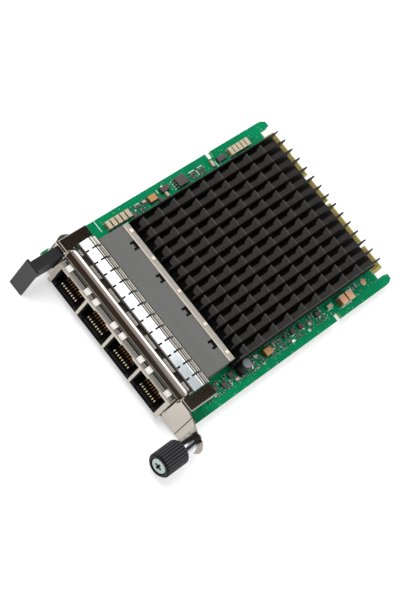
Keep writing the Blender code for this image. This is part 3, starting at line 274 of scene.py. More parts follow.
def boxes(centres, sizes, chamfer):
    """Chamfered boxes: each corner is three points, full on one axis and pulled in on the two others."""
    centres = np.atleast_2d(np.asarray(centres, float))
    sizes = np.broadcast_to(np.asarray(sizes, float), centres.shape)
    bits = np.arange(8)
    signs = np.stack([bits // 4 % 2, bits // 2 % 2, bits % 2], -1) * 2 - 1
    half = sizes[:, None, None, :] / 2 - chamfer * (1 - np.eye(3))
    points = centres[:, None, None, :] + signs[None, :, None, :] * half
    quads, corners = box_faces()
    start = 24 * np.arange(len(centres))[:, None, None]
    faces = (start + quads).reshape(-1, 4).tolist() + (start + corners).reshape(-1, 3).tolist()
    return points.reshape(-1, 3), faces


def end_pairs(centres, shift, sizes, chamfer):
    """Chamfered boxes in pairs, moved to both sides of their centres."""
    return boxes(np.vstack([centres - shift, centres + shift]), np.vstack([sizes, sizes]), chamfer)


def boxes_between(low, high, chamfer):
    """Chamfered boxes from their low and high corners."""
    low, high = np.asarray(low, float), np.asarray(high, float)
    return boxes((low + high) / 2, high - low, chamfer)


def offset(outline, distance):
    """Outline moved inwards: each point slides along the sum of its two edge normals."""
    ahead = np.roll(outline, -1, 0) - outline
    normal = np.stack([-ahead[:, 1], ahead[:, 0]], -1)
    normal /= np.linalg.norm(normal, axis=1, keepdims=True)
    before = np.roll(normal, 1, 0)
    scale = 1 + (normal * before).sum(1, keepdims=True)
    return outline + distance * (normal + before) / np.maximum(scale, 0.3)


ALONG_X, ALONG_Z = [2, 0, 1], [0, 1, 2]


def bevelled_prism(outline, low, high, bevel, order):
    """Outline carried from low to high; its end rings are pulled in by the bevel. Order places the axes."""
    outline = np.asarray(outline, float)
    area = (outline[:, 0] * np.roll(outline[:, 1], -1) - np.roll(outline[:, 0], -1) * outline[:, 1]).sum()
    if area < 0:
        outline = outline[::-1]
    inset = offset(outline, bevel)
    rings = np.stack([inset, outline, outline, inset])
    along = np.array([low, low + bevel, high - bevel, high])
    flat = np.concatenate([rings, np.broadcast_to(along[:, None, None], (*rings.shape[:2], 1))], -1)
    count = len(outline)
    faces = grid_faces(4, count, wrap=True).tolist()
    faces += [list(range(count))[::-1], list(range(3 * count, 4 * count))]
    return flat[..., order].reshape(-1, 3), faces


def turned(profile, centre, steps, ripple=None):
    """Profile of (radius, y) spun round an axis along Y through (x, z); ripple changes radius by angle."""
    angle = np.linspace(0, 2 * pi, steps, endpoint=False)
    radius = np.repeat(profile[:, :1], steps, 1)
    if ripple is not None:
        radius = radius + ripple(profile[:, 1:], angle[None, :])
    y = np.repeat(profile[:, 1:], steps, 1)
    points = np.stack([centre[0] + radius * np.cos(angle), y, centre[1] + radius * np.sin(angle)], -1)
    return points, grid_faces(len(profile), steps, wrap=True)


def set_upright(points, centre):
    """Turned points whose axis runs along Y, set upright over a centre."""
    return np.stack([centre.x + points[..., 0], centre.y + points[..., 2], points[..., 1]], -1)


def rounded(profile, radius, steps=4):
    """Open profile with each inner corner cut by a smooth curve of about the given radius."""
    profile = np.asarray(profile, float)
    here, last, after = profile[1:-1], profile[:-2], profile[2:]
    back, ahead = last - here, after - here
    length_back = np.linalg.norm(back, axis=1, keepdims=True)
    length_ahead = np.linalg.norm(ahead, axis=1, keepdims=True)
    reach = np.minimum(radius, 0.45 * np.minimum(length_back, length_ahead))
    start = here + back / length_back * reach
    end = here + ahead / length_ahead * reach
    t = np.linspace(0, 1, steps + 1)[None, :, None]
    curve = (1 - t) ** 2 * start[:, None] + 2 * t * (1 - t) * here[:, None] + t**2 * end[:, None]
    return np.vstack([profile[:1], curve.reshape(-1, 2), profile[-1:]])


def cut_recess(points, rows, centre, span, width, depth):
    """Sinks a cross into the first rows of a turned head: full depth in either arm, with sloping walls."""
    x, z = np.abs(points[:rows, :, 0] - centre[0]), np.abs(points[:rows, :, 2] - centre[1])
    arm = np.minimum(np.maximum(x - span, z - width), np.maximum(z - span, x - width))
    points[:rows, :, 1] += depth * np.clip(0.5 - arm / (0.35 * width), 0, 1)


def place_piece(name, mesh, finish, body, sharp):
    """Object at the origin with its finish, on the body that carries it."""
    mesh.materials.clear()
    mesh.materials.append(MATERIALS[finish])
    mesh.shade_smooth()
    mesh.set_sharp_from_angle(angle=radians(sharp))
    piece = bpy.data.objects.new(name, mesh)
    bpy.context.scene.collection.objects.link(piece)
    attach(piece, body)
    return piece


def add_piece(name, shape, finish, body="card", replaces=None, sharp=35):
    """Piece from points in millimetres and faces, with its seams and poles merged."""
    points, faces = shape
    mesh = bpy.data.meshes.new(name)
    points = np.asarray(points, float).reshape(-1, 3) * MM
    mesh.from_pydata(points.tolist(), [], [list(face) for face in faces])
    merged = bmesh.new()
    merged.from_mesh(mesh)
    bmesh.ops.remove_doubles(merged, verts=merged.verts, dist=1e-7)
    bmesh.ops.dissolve_degenerate(merged, edges=merged.edges, dist=1e-8)
    bmesh.ops.recalc_face_normals(merged, faces=merged.faces)
    merged.to_mesh(mesh)
    merged.free()
    piece = place_piece(name, mesh, finish, body, sharp)
    if replaces:
        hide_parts(replaces)


def finish_copy(node, name, finish, bevel, sharp=30):
    """Merged copy of a solid with fine bevels and smooth bends, which stands for the solid."""
    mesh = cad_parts[node].data.copy()
    mesh.name = name
    merged = bmesh.new()
    merged.from_mesh(mesh)
    bmesh.ops.remove_doubles(merged, verts=merged.verts, dist=1e-6)
    bmesh.ops.dissolve_limit(merged, angle_limit=radians(0.5), verts=merged.verts, edges=merged.edges)
    merged.to_mesh(mesh)
    merged.free()
    piece = place_piece(name, mesh, finish, "card", sharp)
    if bevel:
        edge = piece.modifiers.new("edge", "BEVEL")
        edge.width = bevel * MM
        edge.segments = 2
        edge.limit_method = "ANGLE"
        edge.angle_limit = radians(40)
        edge.use_clamp_overlap = True
    piece.modifiers.new("shading", "WEIGHTED_NORMAL").keep_sharp = True
    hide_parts(node)


def dress(node, finish):
    """Gives a solid that stays its finished material."""
    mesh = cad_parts[node].data
    mesh.materials.clear()
    mesh.materials.append(MATERIALS[finish])


# Materials

EFFECTS = {}
MATERIALS = {}
SOCKETS = {
    "colour": "Base Color", "roughness": "Roughness", "metallic": "Metallic", "gloss": "Specular IOR Level",
    "glow": "Emission Color", "glow_strength": "Emission Strength", "normal": "Normal",
}


class Nodes:
    """Short way to place and join the nodes of a tree, and to fill its shader."""

    def __init__(self, tree, shader=None):
        self.tree = tree
        self.shader = shader

    def add(self, kind, inputs=None, **settings):
        """New node with its settings, then its inputs, each a value or another node's output."""
        node = self.tree.nodes.new(kind)
        for key, value in settings.items():
            setattr(node, key, value)
        for key, value in (inputs or {}).items():
            self.set(node.inputs[key], value)
        return node

    def set(self, socket, value):
        """Joins an output to a socket, or writes a value there; colours get their alpha."""
        if isinstance(value, bpy.types.NodeSocket):
            self.tree.links.new(value, socket)
        elif isinstance(value, (tuple, list)) and len(value) == 3 and socket.type == "RGBA":
            socket.default_value = (*value, 1)
        else:
            socket.default_value = value

    def maths(self, operation, a, b=0.0):
        """Result of one sum on values."""
        return self.add("ShaderNodeMath", {0: a, 1: b}, operation=operation).outputs[0]

    def times(self, first, *others):
        """Product of masks or values."""
        for other in others:
            first = self.maths("MULTIPLY", first, other)
        return first

    def blend(self, factor, a, b):
        """Colour between a and b."""
        mix = self.add("ShaderNodeMix", {0: factor, 6: a, 7: b}, data_type="RGBA", clamp_factor=True)
        return mix.outputs[2]

    def ramp(self, value, low, high):
        """Zero at low, one at high and straight between them."""
        inputs = {"Value": value, "From Min": low, "From Max": high}
        return self.add("ShaderNodeMapRange", inputs, clamp=True).outputs["Result"]

    def inside(self, value, low, high, soft):
        """One where the value lies between two limits, with a soft edge."""
        return self.times(self.ramp(value, low, low + soft), self.ramp(value, high, high - soft))

    def axes(self, vector):
        """X, Y and Z of a vector."""
        return tuple(self.add("ShaderNodeSeparateXYZ", {"Vector": vector}).outputs)

    def millimetres(self, place):
        """X, Y and Z of a place, in millimetres."""
        scaled = self.add("ShaderNodeVectorMath", {0: place, "Scale": 1 / MM}, operation="SCALE")
        return self.axes(scaled.outputs[0])

    def noise(self, place, scale, detail):
        """Smooth random value round a half."""
        inputs = {"Vector": place, "Scale": scale, "Detail": detail}
        return self.add("ShaderNodeTexNoise", inputs).outputs["Fac"]

    def effect(self, name, place, scale):
        """Height and tone of a shared effect, at this material's own scale."""
        group = self.add("ShaderNodeGroup", {"Vector": place, "Scale": scale}, node_tree=EFFECTS[name])
        return tuple(group.outputs)

    def surface(self, **values):
        """Joins outputs to the shader; a value that is the same all over is set on its own socket."""
        for label, value in values.items():
            self.set(self.shader.inputs[SOCKETS[label]], value)

    def relief(self, height, distance, **inputs):
        """Fine bump on the shader; the distance is in millimetres."""
        inputs = {"Height": height, "Distance": distance * MM, "Strength": 1.0, **inputs}
        self.surface(normal=self.add("ShaderNodeBump", inputs).outputs["Normal"])


def effect_group(name, scale, tone):
    """Empty shader group that takes a place and a scale and gives a height and a tone."""
    group = bpy.data.node_groups.new(name, "ShaderNodeTree")
    group.interface.new_socket("Vector", in_out="INPUT", socket_type="NodeSocketVector")
    group.interface.new_socket("Scale", in_out="INPUT", socket_type="NodeSocketFloat").default_value = scale
    for label in ("Height", tone):
        group.interface.new_socket(label, in_out="OUTPUT", socket_type="NodeSocketFloat")
    EFFECTS[name] = group
    nodes = Nodes(group)
    return nodes, nodes.add("NodeGroupInput").outputs, nodes.add("NodeGroupOutput").inputs


def grain_group():
    """Fine moulded or cast grain: two sizes of noise give a height and a slow change of tone."""
    nodes, source, result = effect_group("fine_grain", 4000.0, "Tone")
    place, scale = source["Vector"], source["Scale"]
    nodes.set(result["Height"], nodes.noise(place, scale, 3.0))
    slow = nodes.noise(place, nodes.times(scale, 0.06), 4.0)
    nodes.set(result["Tone"], nodes.ramp(slow, 0.3, 0.7))


def brush_group():
    """Rolled or brushed sheet: noise stretched along X gives a height and streaks of tone."""
    nodes, source, result = effect_group("brushed_sheet", 2500.0, "Streak")
    scale = source["Scale"]
    stretch = nodes.add("ShaderNodeMapping", {"Vector": source["Vector"], "Scale": (0.05, 1.0, 1.0)})
    place = stretch.outputs["Vector"]
    nodes.set(result["Height"], nodes.noise(place, scale, 2.0))
    slow = nodes.noise(place, nodes.times(scale, 0.15), 3.0)
    nodes.set(result["Streak"], nodes.ramp(slow, 0.3, 0.7))


def start_material(name):
    """New material: the helper that fills its shader, and its Object coordinates."""
    material = bpy.data.materials.new(name)
    material.use_nodes = True
    nodes = Nodes(material.node_tree, material.node_tree.nodes["Principled BSDF"])
    MATERIALS[name] = material
    return nodes, nodes.add("ShaderNodeTexCoord").outputs["Object"]


def shade(colour, factor):
    """Colour made darker or lighter, channel by channel."""
    return tuple(min(1.0, channel * factor) for channel in colour)


def finish_material(name, effect, scale, colours, roughness, metallic, bump, gloss=0.5):
    """Two tones, a range of roughness and a fine bump, all driven by one shared effect."""
    nodes, place = start_material(name)
    height, tone = nodes.effect(effect, place, scale)
    spread = {"Value": tone, "To Min": roughness[0], "To Max": roughness[1]}
    dull = nodes.add("ShaderNodeMapRange", spread).outputs["Result"]
    nodes.surface(colour=nodes.blend(tone, *colours), roughness=dull, metallic=metallic, gloss=gloss)
    nodes.relief(height, bump)


def block_material(name, top, side):
    """Moulded, fired or drawn block with painted light and shade: top and sides get their own colours, mostly
    darker on the sides.
    """
    nodes, place = start_material(name)
    height, tone = nodes.effect("fine_grain", place, 3400.0)
    normal = nodes.add("ShaderNodeTexCoord").outputs["Normal"]
    # Painted light and shade: the colour follows which way a face points
    up = nodes.ramp(nodes.axes(normal)[2], 0.4, 0.8)
    upper = nodes.blend(tone, top, shade(top, 0.82))
    nodes.surface(colour=nodes.blend(up, side, upper), roughness=0.5, gloss=0.35)
    nodes.relief(height, 0.004)


def board_material(mask):
    """Green lacquer over copper: bright tracks and pours, dark gaps, vias and pale cut edges."""
    nodes, place = start_material("solder_mask")
    track = nodes.add(
        "ShaderNodeTexBrick",
        {"Vector": place, "Scale": 1.0, "Color1": (1, 1, 1), "Color2": (0.55, 0.55, 0.55),
         "Mortar": (0, 0, 0), "Mortar Size": 0.14 * MM, "Brick Width": 5.2 * MM, "Row Height": 0.62 * MM},
    )
    routed = nodes.ramp(nodes.noise(place, 150.0, 1.0), 0.5, 0.53)
    lines = nodes.times(nodes.maths("SUBTRACT", 1.0, track.outputs["Fac"]), routed)
    cells = nodes.add("ShaderNodeTexVoronoi", {"Vector": place, "Scale": 620.0, "Randomness": 0.8})
    sparse = nodes.ramp(cells.outputs["Color"], 0.62, 0.6)
    via = nodes.times(nodes.ramp(cells.outputs["Distance"], 0.2, 0.16), sparse)
    pour = nodes.blend(nodes.times(lines, 0.4), shade(mask, 0.9), shade(mask, 0.55))
    spotted = nodes.blend(nodes.times(via, 0.5), pour, (0.16, 0.4, 0.24))
    x, y, _ = nodes.millimetres(place)
    hatch = nodes.maths("FRACT", nodes.times(y, 1 / 0.95))
    hatched = nodes.times(nodes.inside(x, 33.4, 36.4, 0.1), nodes.inside(y, -110.0, -88.0, 0.1),
                          nodes.inside(hatch, 0.3, 0.7, 0.1))
    lined = nodes.blend(nodes.times(hatched, 0.5), spotted, shade(mask, 1.5))
    tongue = nodes.times(nodes.ramp(y, -5.7, -5.6), nodes.inside(x, -32.1, 32.1, 0.1))
    surface = nodes.blend(tongue, lined, (0.24, 0.21, 0.07))
    normal = nodes.add("ShaderNodeNewGeometry").outputs["Normal"]
    side = nodes.ramp(nodes.maths("ABSOLUTE", nodes.axes(normal)[2]), 0.7, 0.4)
    nodes.surface(colour=nodes.blend(side, surface, (0.1, 0.3, 0.12)), roughness=0.42, gloss=0.08)
    nodes.relief(nodes.maths("ADD", nodes.times(lines, -0.6), via), 0.03, Strength=0.6)


def fin_material(anodised):
    """Black anodising with painted shade, a little paler towards each cut line across the roofs, and a
    painted highlight along it.
    """
    nodes, place = start_material("fin_anodised")
    height, tone = nodes.effect("fine_grain", place, 5200.0)
    top = box(FINS[0])[1].z
    _, y, z = nodes.millimetres(place)
    behind = nodes.maths("SUBTRACT", ROOF_START, y)
    share = nodes.maths("FRACT", nodes.times(behind, 1 / ROOF_PITCH))
    on_roof = nodes.ramp(z, top - 0.2, top - 0.1)
    past_first = nodes.ramp(behind, 0.9 * ROOF_PITCH, 0.91 * ROOF_PITCH)
    # Painted highlight: a pale line just in front of each cut line on the roof tops
    edge = nodes.times(nodes.ramp(share, 0.042, 0.03), on_roof, past_first)
    # Painted shade: each roof section is paler at its cut line and darker towards the next one
    black = nodes.blend(share, shade(anodised, 1.15), shade(anodised, 0.8))
    grained = nodes.blend(tone, black, shade(anodised, 1.2))
    nodes.surface(colour=nodes.blend(edge, grained, shade(anodised, 4.5)), roughness=0.55, gloss=0.25)
    nodes.relief(height, 0.006)


def plate_material(plate):
    """Brushed grey sheet; on the nose in front of the faceplate painted light makes the ends of the walls
    warm and pale.
    """
    nodes, place = start_material("nickel_plate")
    height, streak = nodes.effect("brushed_sheet", place, 2600.0)
    nose = nodes.ramp(nodes.millimetres(place)[1], FACE_FRONT + 0.3, FACE_FRONT - 0.1)
    sheet = nodes.blend(streak, plate, shade(plate, 0.9))
    normal = nodes.add("ShaderNodeTexCoord").outputs["Normal"]
    # Painted light: on the nose, faces that point forward are pale and the others there darker
    facing = nodes.ramp(nodes.axes(normal)[1], -0.4, -0.7)
    warm = nodes.blend(facing, (0.19, 0.17, 0.145), (0.5, 0.455, 0.395))
    metallic = nodes.maths("SUBTRACT", 0.6, nodes.times(nose, 0.35))
    nodes.surface(colour=nodes.blend(nose, sheet, warm), roughness=0.4, metallic=metallic)
    nodes.relief(height, 0.004)


def contact_material():
    """Gilt wires with a painted glint on the crest of the front bend, painted shadow round it and painted
    shade that leaves them brown further in.
    """
    nodes, place = start_material("contact_wires")
    _, tone = nodes.effect("fine_grain", place, 3000.0)
    tray = box("contact_tray_1")[0]
    front, shelf = tray.y, tray.z + TRAY_HEIGHT
    _, y, z = nodes.millimetres(place)
    # Painted glint on the crest of the front bend
    crest = nodes.ramp(z, shelf + 0.35, shelf + 0.45)
    bend = nodes.times(nodes.inside(y, front + 0.8, front + 1.4, 0.1), crest)
    # Painted shadow near the front of the port, brown painted shade further in
    deep = nodes.ramp(y, front + 2.7, front + 3.1)
    gilt = nodes.blend(tone, (0.95, 0.84, 0.62), (0.9, 0.74, 0.45))
    brown = nodes.blend(deep, (0.02, 0.012, 0.005), (0.5, 0.24, 0.07))
    nodes.surface(colour=nodes.blend(bend, brown, gilt), roughness=0.4, metallic=nodes.times(bend, 0.3))


def bracket_material(nickel):
    """Bright nickel, dull and darkened by painted shadow where the finger strip covers the flange and along
    the fold of the face.
    On the hood the colour is lightened as a painted highlight, and its shading follows one smooth round that
    starts a little before the bend, as on drawn sheet: the normal's lean to the front grows with the way
    across the bend."""
    nodes, place = start_material("nickel_bright")
    height, tone = nodes.effect("fine_grain", place, 900.0)
    x, y, z = nodes.millimetres(place)
    strip_low, strip_high = box("emi_finger_strip")
    # Painted shadow under the finger strip, where it covers the flange
    strip_shadow = nodes.times(nodes.inside(x, strip_low.x, strip_high.x, 0.1),
                          nodes.inside(y, strip_low.y - 0.1, strip_high.y, 0.2))
    # Painted shade in the score along the fold of the face
    fold_shade = nodes.times(nodes.inside(x, FOLD_X - 0.22, FOLD_X + 0.22, 0.08),
                         nodes.ramp(y, FACE_FRONT + 0.5, FACE_FRONT + 0.4), 0.8)
    dark = nodes.maths("MAXIMUM", strip_shadow, fold_shade)
    lean = nodes.times(nodes.maths("POWER", nodes.ramp(y, FACE_FRONT + 4.2, FACE_FRONT), 1.25), 0.999)
    rise = nodes.maths("SQRT", nodes.maths("SUBTRACT", 1.0, nodes.times(lean, lean)))
    drawn = nodes.add("ShaderNodeCombineXYZ", {"Y": nodes.times(lean, -1.0), "Z": rise}).outputs[0]
    normal = nodes.add("ShaderNodeNewGeometry").outputs["Normal"]
    upward = nodes.ramp(nodes.axes(normal)[2], 0.15, 0.3)
    shell_low, shell_high = box("jack_shield")
    hood = nodes.times(upward, nodes.inside(x, shell_low.x - 0.6, shell_high.x + 0.6, 1.0),
                       nodes.ramp(z, 8.0, 8.5))
    metal = nodes.blend(tone, nickel, shade(nickel, 0.92))
    # Painted highlight: the hood's colour is lightened so that its bend reads whiter
    metal = nodes.blend(hood, metal, shade(nickel, 1.55))
    flange = nodes.times(hood, nodes.ramp(y, FACE_FRONT + 4.1, FACE_FRONT + 4.7), 0.13)
    dull = nodes.maths("MAXIMUM", nodes.times(dark, 0.5), flange)
    # Colour of the painted shadow and shade under the strip and along the fold
    nodes.surface(colour=nodes.blend(dark, metal, (0.045, 0.036, 0.026)),
                  roughness=nodes.maths("ADD", dull, 0.06), metallic=1.0)
    leant = nodes.add("ShaderNodeMix", {"Factor": hood, 4: normal, 5: drawn}, data_type="VECTOR").outputs[1]
    smooth = nodes.add("ShaderNodeVectorMath", {0: leant}, operation="NORMALIZE").outputs[0]
    nodes.relief(height, 0.00003, Normal=smooth)


def knob_material(charcoal):
    """Charcoal plastic, with painted shade that makes it black down in the flutes and a painted sheen along
    the ridges.
    """
    nodes, place = start_material("knob_plastic")
    height, tone = nodes.effect("fine_grain", place, 4200.0)
    low, high = box("thumbscrew_knob")
    centre, outer = (low + high) / 2, (high.x - low.x) / 2
    x, _, z = nodes.millimetres(place)
    x, z = nodes.maths("SUBTRACT", x, centre.x), nodes.maths("SUBTRACT", z, centre.z)
    radius = nodes.maths("SQRT", nodes.maths("ADD", nodes.times(x, x), nodes.times(z, z)))
    # Painted shade inside the ridge radius, painted sheen on the ridges
    ridge = nodes.ramp(radius, outer - 0.26, outer - 0.03)
    ridge_sheen = nodes.blend(tone, shade(charcoal, 1.3), shade(charcoal, 1.7))
    nodes.surface(colour=nodes.blend(ridge, shade(charcoal, 0.2), ridge_sheen), roughness=0.4, gloss=0.3)
    nodes.relief(height, 0.004)


def head_material():
    """Zinc of the screw head, with painted shade that darkens it down in its recess."""
    nodes, place = start_material("zinc_head")
    _, tone = nodes.effect("fine_grain", place, 1800.0)
    front = box("thumbscrew_screw")[0].y
    y = nodes.millimetres(place)[1]
    # Painted shade down in the cross recess, which is also rougher
    recess = nodes.times(nodes.ramp(y, front + 0.17, front + 0.4), nodes.ramp(y, front + 1.1, front + 1.0))
    metal = nodes.blend(tone, (0.42, 0.5, 0.465), (0.34, 0.41, 0.385))
    nodes.surface(colour=nodes.blend(recess, metal, (0.03, 0.05, 0.045)),
                  roughness=nodes.maths("ADD", nodes.times(recess, 0.3), 0.34), metallic=1.0)


class CardOperator:
    """Shared settings of the operators"""

    bl_options = {"REGISTER", "UNDO"}


class ADAPTER_OT_finishes(CardOperator, bpy.types.Operator):
    """Builds the shared effects and all materials"""

    bl_idname = "adapter_card.finishes"
    bl_label = "Finishes"

    def execute(self, context):
        board, metal = context.scene.card_board, context.scene.card_metal
        charcoal = tuple(context.scene.card_thumbscrew.charcoal)
        anodised = tuple(metal.anodised)
        grain_group()
        brush_group()
        board_material(tuple(board.mask))
        fin_material(anodised)
        plate_material(tuple(metal.plate))
        contact_material()
        bracket_material(tuple(metal.nickel))
        knob_material(charcoal)
        head_material()
        self.blocks(charcoal)
        self.plain_finishes(tuple(board.gold), anodised)
        return {"FINISHED"}

    def blocks(self, charcoal):
        """Rows of name, colour on top and colour on the sides, the two being painted light and shade."""
        for row in (
            ("ceramic_tan", (0.44, 0.37, 0.26), (0.2, 0.135, 0.075)),
            ("ceramic_copper", (0.53, 0.29, 0.17), (0.2, 0.09, 0.028)),
            ("orange_resin", (0.4, 0.21, 0.085), (0.11, 0.055, 0.014)),
            ("can_aluminium", (0.15, 0.156, 0.176), (0.03, 0.03, 0.034)),
            ("chip_epoxy", (0.075, 0.063, 0.062), (0.028, 0.024, 0.024)),
            # Painted shade: the pull tab's top is the darker colour here
            ("charcoal_plastic", shade(charcoal, 0.5), shade(charcoal, 1.1)),
        ):
            block_material(*row)

    def plain_finishes(self, gold, anodised):
        """Rows of name, scale of the effect, its two colours, range of roughness, metal, bump and gloss."""
        for row in (
            ("nickel_lip", 2600.0, ((0.46, 0.43, 0.38), (0.4, 0.37, 0.33)), (0.36, 0.44), 0.6, 0.004),
            ("nickel_shade", 2600.0, ((0.16, 0.15, 0.138), (0.13, 0.122, 0.112)), (0.4, 0.48), 0.35, 0.005),
        ):
            finish_material(row[0], "brushed_sheet", *row[1:])
        # Painted shade: the base plate gets a darker copy of the fins' anodising
        black = (shade(anodised, 0.4), shade(anodised, 0.55))
        for row in (
            ("nickel_satin", 1500.0, ((0.72, 0.63, 0.52), (0.6, 0.52, 0.43)), (0.4, 0.5), 0.3, 0.004),
            ("spring_satin", 1200.0, ((0.8, 0.77, 0.75), (0.7, 0.67, 0.64)), (0.3, 0.4), 0.35, 0.002),
            ("nose_satin", 1200.0, ((0.68, 0.65, 0.62), (0.56, 0.53, 0.5)), (0.3, 0.4), 0.35, 0.002),
            ("spring_bright", 900.0, ((0.93, 0.93, 0.92), (0.86, 0.85, 0.83)), (0.06, 0.1), 1.0, 0.001),
            ("black_anodised", 5200.0, black, (0.5, 0.62), 0.0, 0.006, 0.1),
            ("black_plastic", 3600.0, ((0.006, 0.005, 0.005), (0.009, 0.008, 0.008)), (0.5, 0.62), 0.0, 0.006,
             0.06),
            ("gold_plate", 2500.0, (gold, shade(gold, 0.82)), (0.24, 0.36), 1.0, 0.003),
            ("zinc_plate", 1800.0, ((0.6, 0.67, 0.64), (0.46, 0.53, 0.51)), (0.28, 0.42), 1.0, 0.004),
            ("solder_tin", 2600.0, ((0.74, 0.73, 0.7), (0.58, 0.57, 0.55)), (0.25, 0.4), 1.0, 0.005),
            ("solder_dull", 2600.0, ((0.52, 0.47, 0.36), (0.43, 0.38, 0.28)), (0.35, 0.5), 0.25, 0.005),
            ("ferrule_nickel", 1200.0, ((0.7, 0.74, 0.8), (0.6, 0.64, 0.7)), (0.1, 0.14), 1.0, 0.002),
            ("silk_ink", 3000.0, ((0.8, 0.84, 0.8), (0.66, 0.72, 0.67)), (0.6, 0.7), 0.0, 0.003, 0.3),
            ("gap_filler", 1400.0, ((0.35, 0.36, 0.4), (0.3, 0.31, 0.34)), (0.7, 0.85), 0.0, 0.02, 0.3),
        ):
            finish_material(row[0], "fine_grain", *row[1:])


class ADAPTER_OT_board(CardOperator, bpy.types.Operator):
    """Board surface, edge contacts and solder joints"""

    bl_idname = "adapter_card.board"
    bl_label = "Circuit board"

    def execute(self, context):
        dress("circuit_board", "solder_mask")
        self.edge_contacts(context.scene.card_board)
        self.solder_joints()
        return {"FINISHED"}

    def edge_contacts(self, look):
        """Rows of gilt strips on both faces of the tongue, left out at the key slots."""
        pitch, width, length = look.finger_pitch / MM, look.finger_width / MM, look.finger_length / MM
        reach, inset, skin = 31.2, 0.7, 0.03
        x = np.arange(-reach, reach, pitch)
        for slot, gap in KEY_SLOTS:
            x = x[np.abs(x - slot) > gap / 2 + width]
        count = len(x)
        z = np.repeat([BOARD_TOP + skin / 2, BOARD_BOTTOM - skin / 2], count)
        centres = np.stack([np.tile(x, 2), np.full(2 * count, -inset - length / 2), z], -1)
        strips = boxes(centres, (width, length, 2 * skin), 0.01)
        add_piece("edge_contacts", strips, "gold_plate")

    def solder_joints(self):
        """Domes of solder round the pins under the board: height falls with the square of the radius."""
        pitch, outer, height = 2.54, 0.95, 0.75
        rings, steps = 6, 14
        pins = np.arange(5) - 2
        x = (PORTS[:, None] + pins * pitch).ravel()
        y = np.tile(middle("magnetics_1").y + np.where(pins % 2 == 0, -1, 1) * pitch / 2, len(PORTS))
        radius = np.linspace(1, 0, rings)[:, None] * outer
        angle = np.linspace(0, 2 * pi, steps, endpoint=False)[None, :]
        z = BOARD_BOTTOM + 0 * angle - height * (1 - (radius / outer) ** 2)
        dome = np.stack([radius * np.cos(angle), radius * np.sin(angle), z], -1).reshape(-1, 3)
        faces = grid_faces(rings, steps, wrap=True).tolist() + [list(range(steps))]
        joints = [(dome + (pin_x, pin_y, 0), faces) for pin_x, pin_y in zip(x, y)]
        add_piece("solder_joints", gather(joints), "solder_tin", sharp=60)


class ADAPTER_OT_heat_sink(CardOperator, bpy.types.Operator):
    """Folded fins on their base"""

    bl_idname = "adapter_card.heat_sink"
    bl_label = "Heat sink"

    def execute(self, context):
        look = context.scene.card_metal
        sheet, bend = look.fin_sheet / MM, look.fin_bend / MM
        for node in FINS:
            shape = self.plain_fin(node, sheet) if node == FINS[0] else self.folded_fin(node, sheet, bend)
            name = node.replace("sink_fin", "sink_sheet")
            add_piece(name, shape, "fin_anodised", replaces=node)
        finish_copy("heat_sink_base", "heat_sink_plate", "black_anodised", 0.15)
        dress("thermal_pad", "gap_filler")
        dress("controller_chip", "chip_epoxy")
        return {"FINISHED"}

    def plain_fin(self, node, sheet):
        """Upright rectangle with bevelled edges, without a roof."""
        low, high = box(node)
        outline = [(low.y, low.z), (high.y, low.z), (high.y, high.z), (low.y, high.z)]
        return bevelled_prism(outline, high.x - sheet, high.x, 0.1, ALONG_X)

    def folded_fin(self, node, sheet, bend):
        """Sheet that rises, folds over a quarter circle and runs left to an edge that steps in and out."""
        low, high = box(node)
        front, rear, top, foot = low.y, high.y, high.z, low.z
        wide, shoulder, narrow, slant, notch, step = 3.45, 2.61, 2.05, 2.6, 0.5, 0.03
        lines = ROOF_START - ROOF_PITCH * np.arange(1, ROOF_COUNT + 1)
        y = np.stack([lines + step, lines, lines - slant, lines - slant - notch], -1).ravel()
        width = np.tile([narrow, wide, shoulder, narrow], ROOF_COUNT)
        edge = sheet * 1.05
        start = ROOF_START - 1.4
        y = np.concatenate([[rear, start + step, start], y, [y[-1] - step, front]])
        width = np.concatenate([[edge, edge, narrow], width, [edge, edge]])
        turn = np.linspace(0, pi / 2, 6)
        column_x = np.concatenate([[0, 0], bend * (1 - np.cos(turn))])
        column_z = np.concatenate([[foot, (foot + top) / 2], top - bend + bend * np.sin(turn)])
        share = np.linspace(0, 1, 4)[1:]
        over = column_x[-1] + (np.maximum(width, bend + 0.02)[:, None] - column_x[-1]) * share
        across = np.hstack([np.broadcast_to(column_x, (len(y), len(column_x))), over])
        up = np.concatenate([column_z, np.full(len(share), top)])
        grid = np.stack(np.broadcast_arrays(high.x - across, y[:, None], up), -1)
        return thick_sheet(grid, np.ones((len(y) - 1, len(up) - 1), bool), sheet)


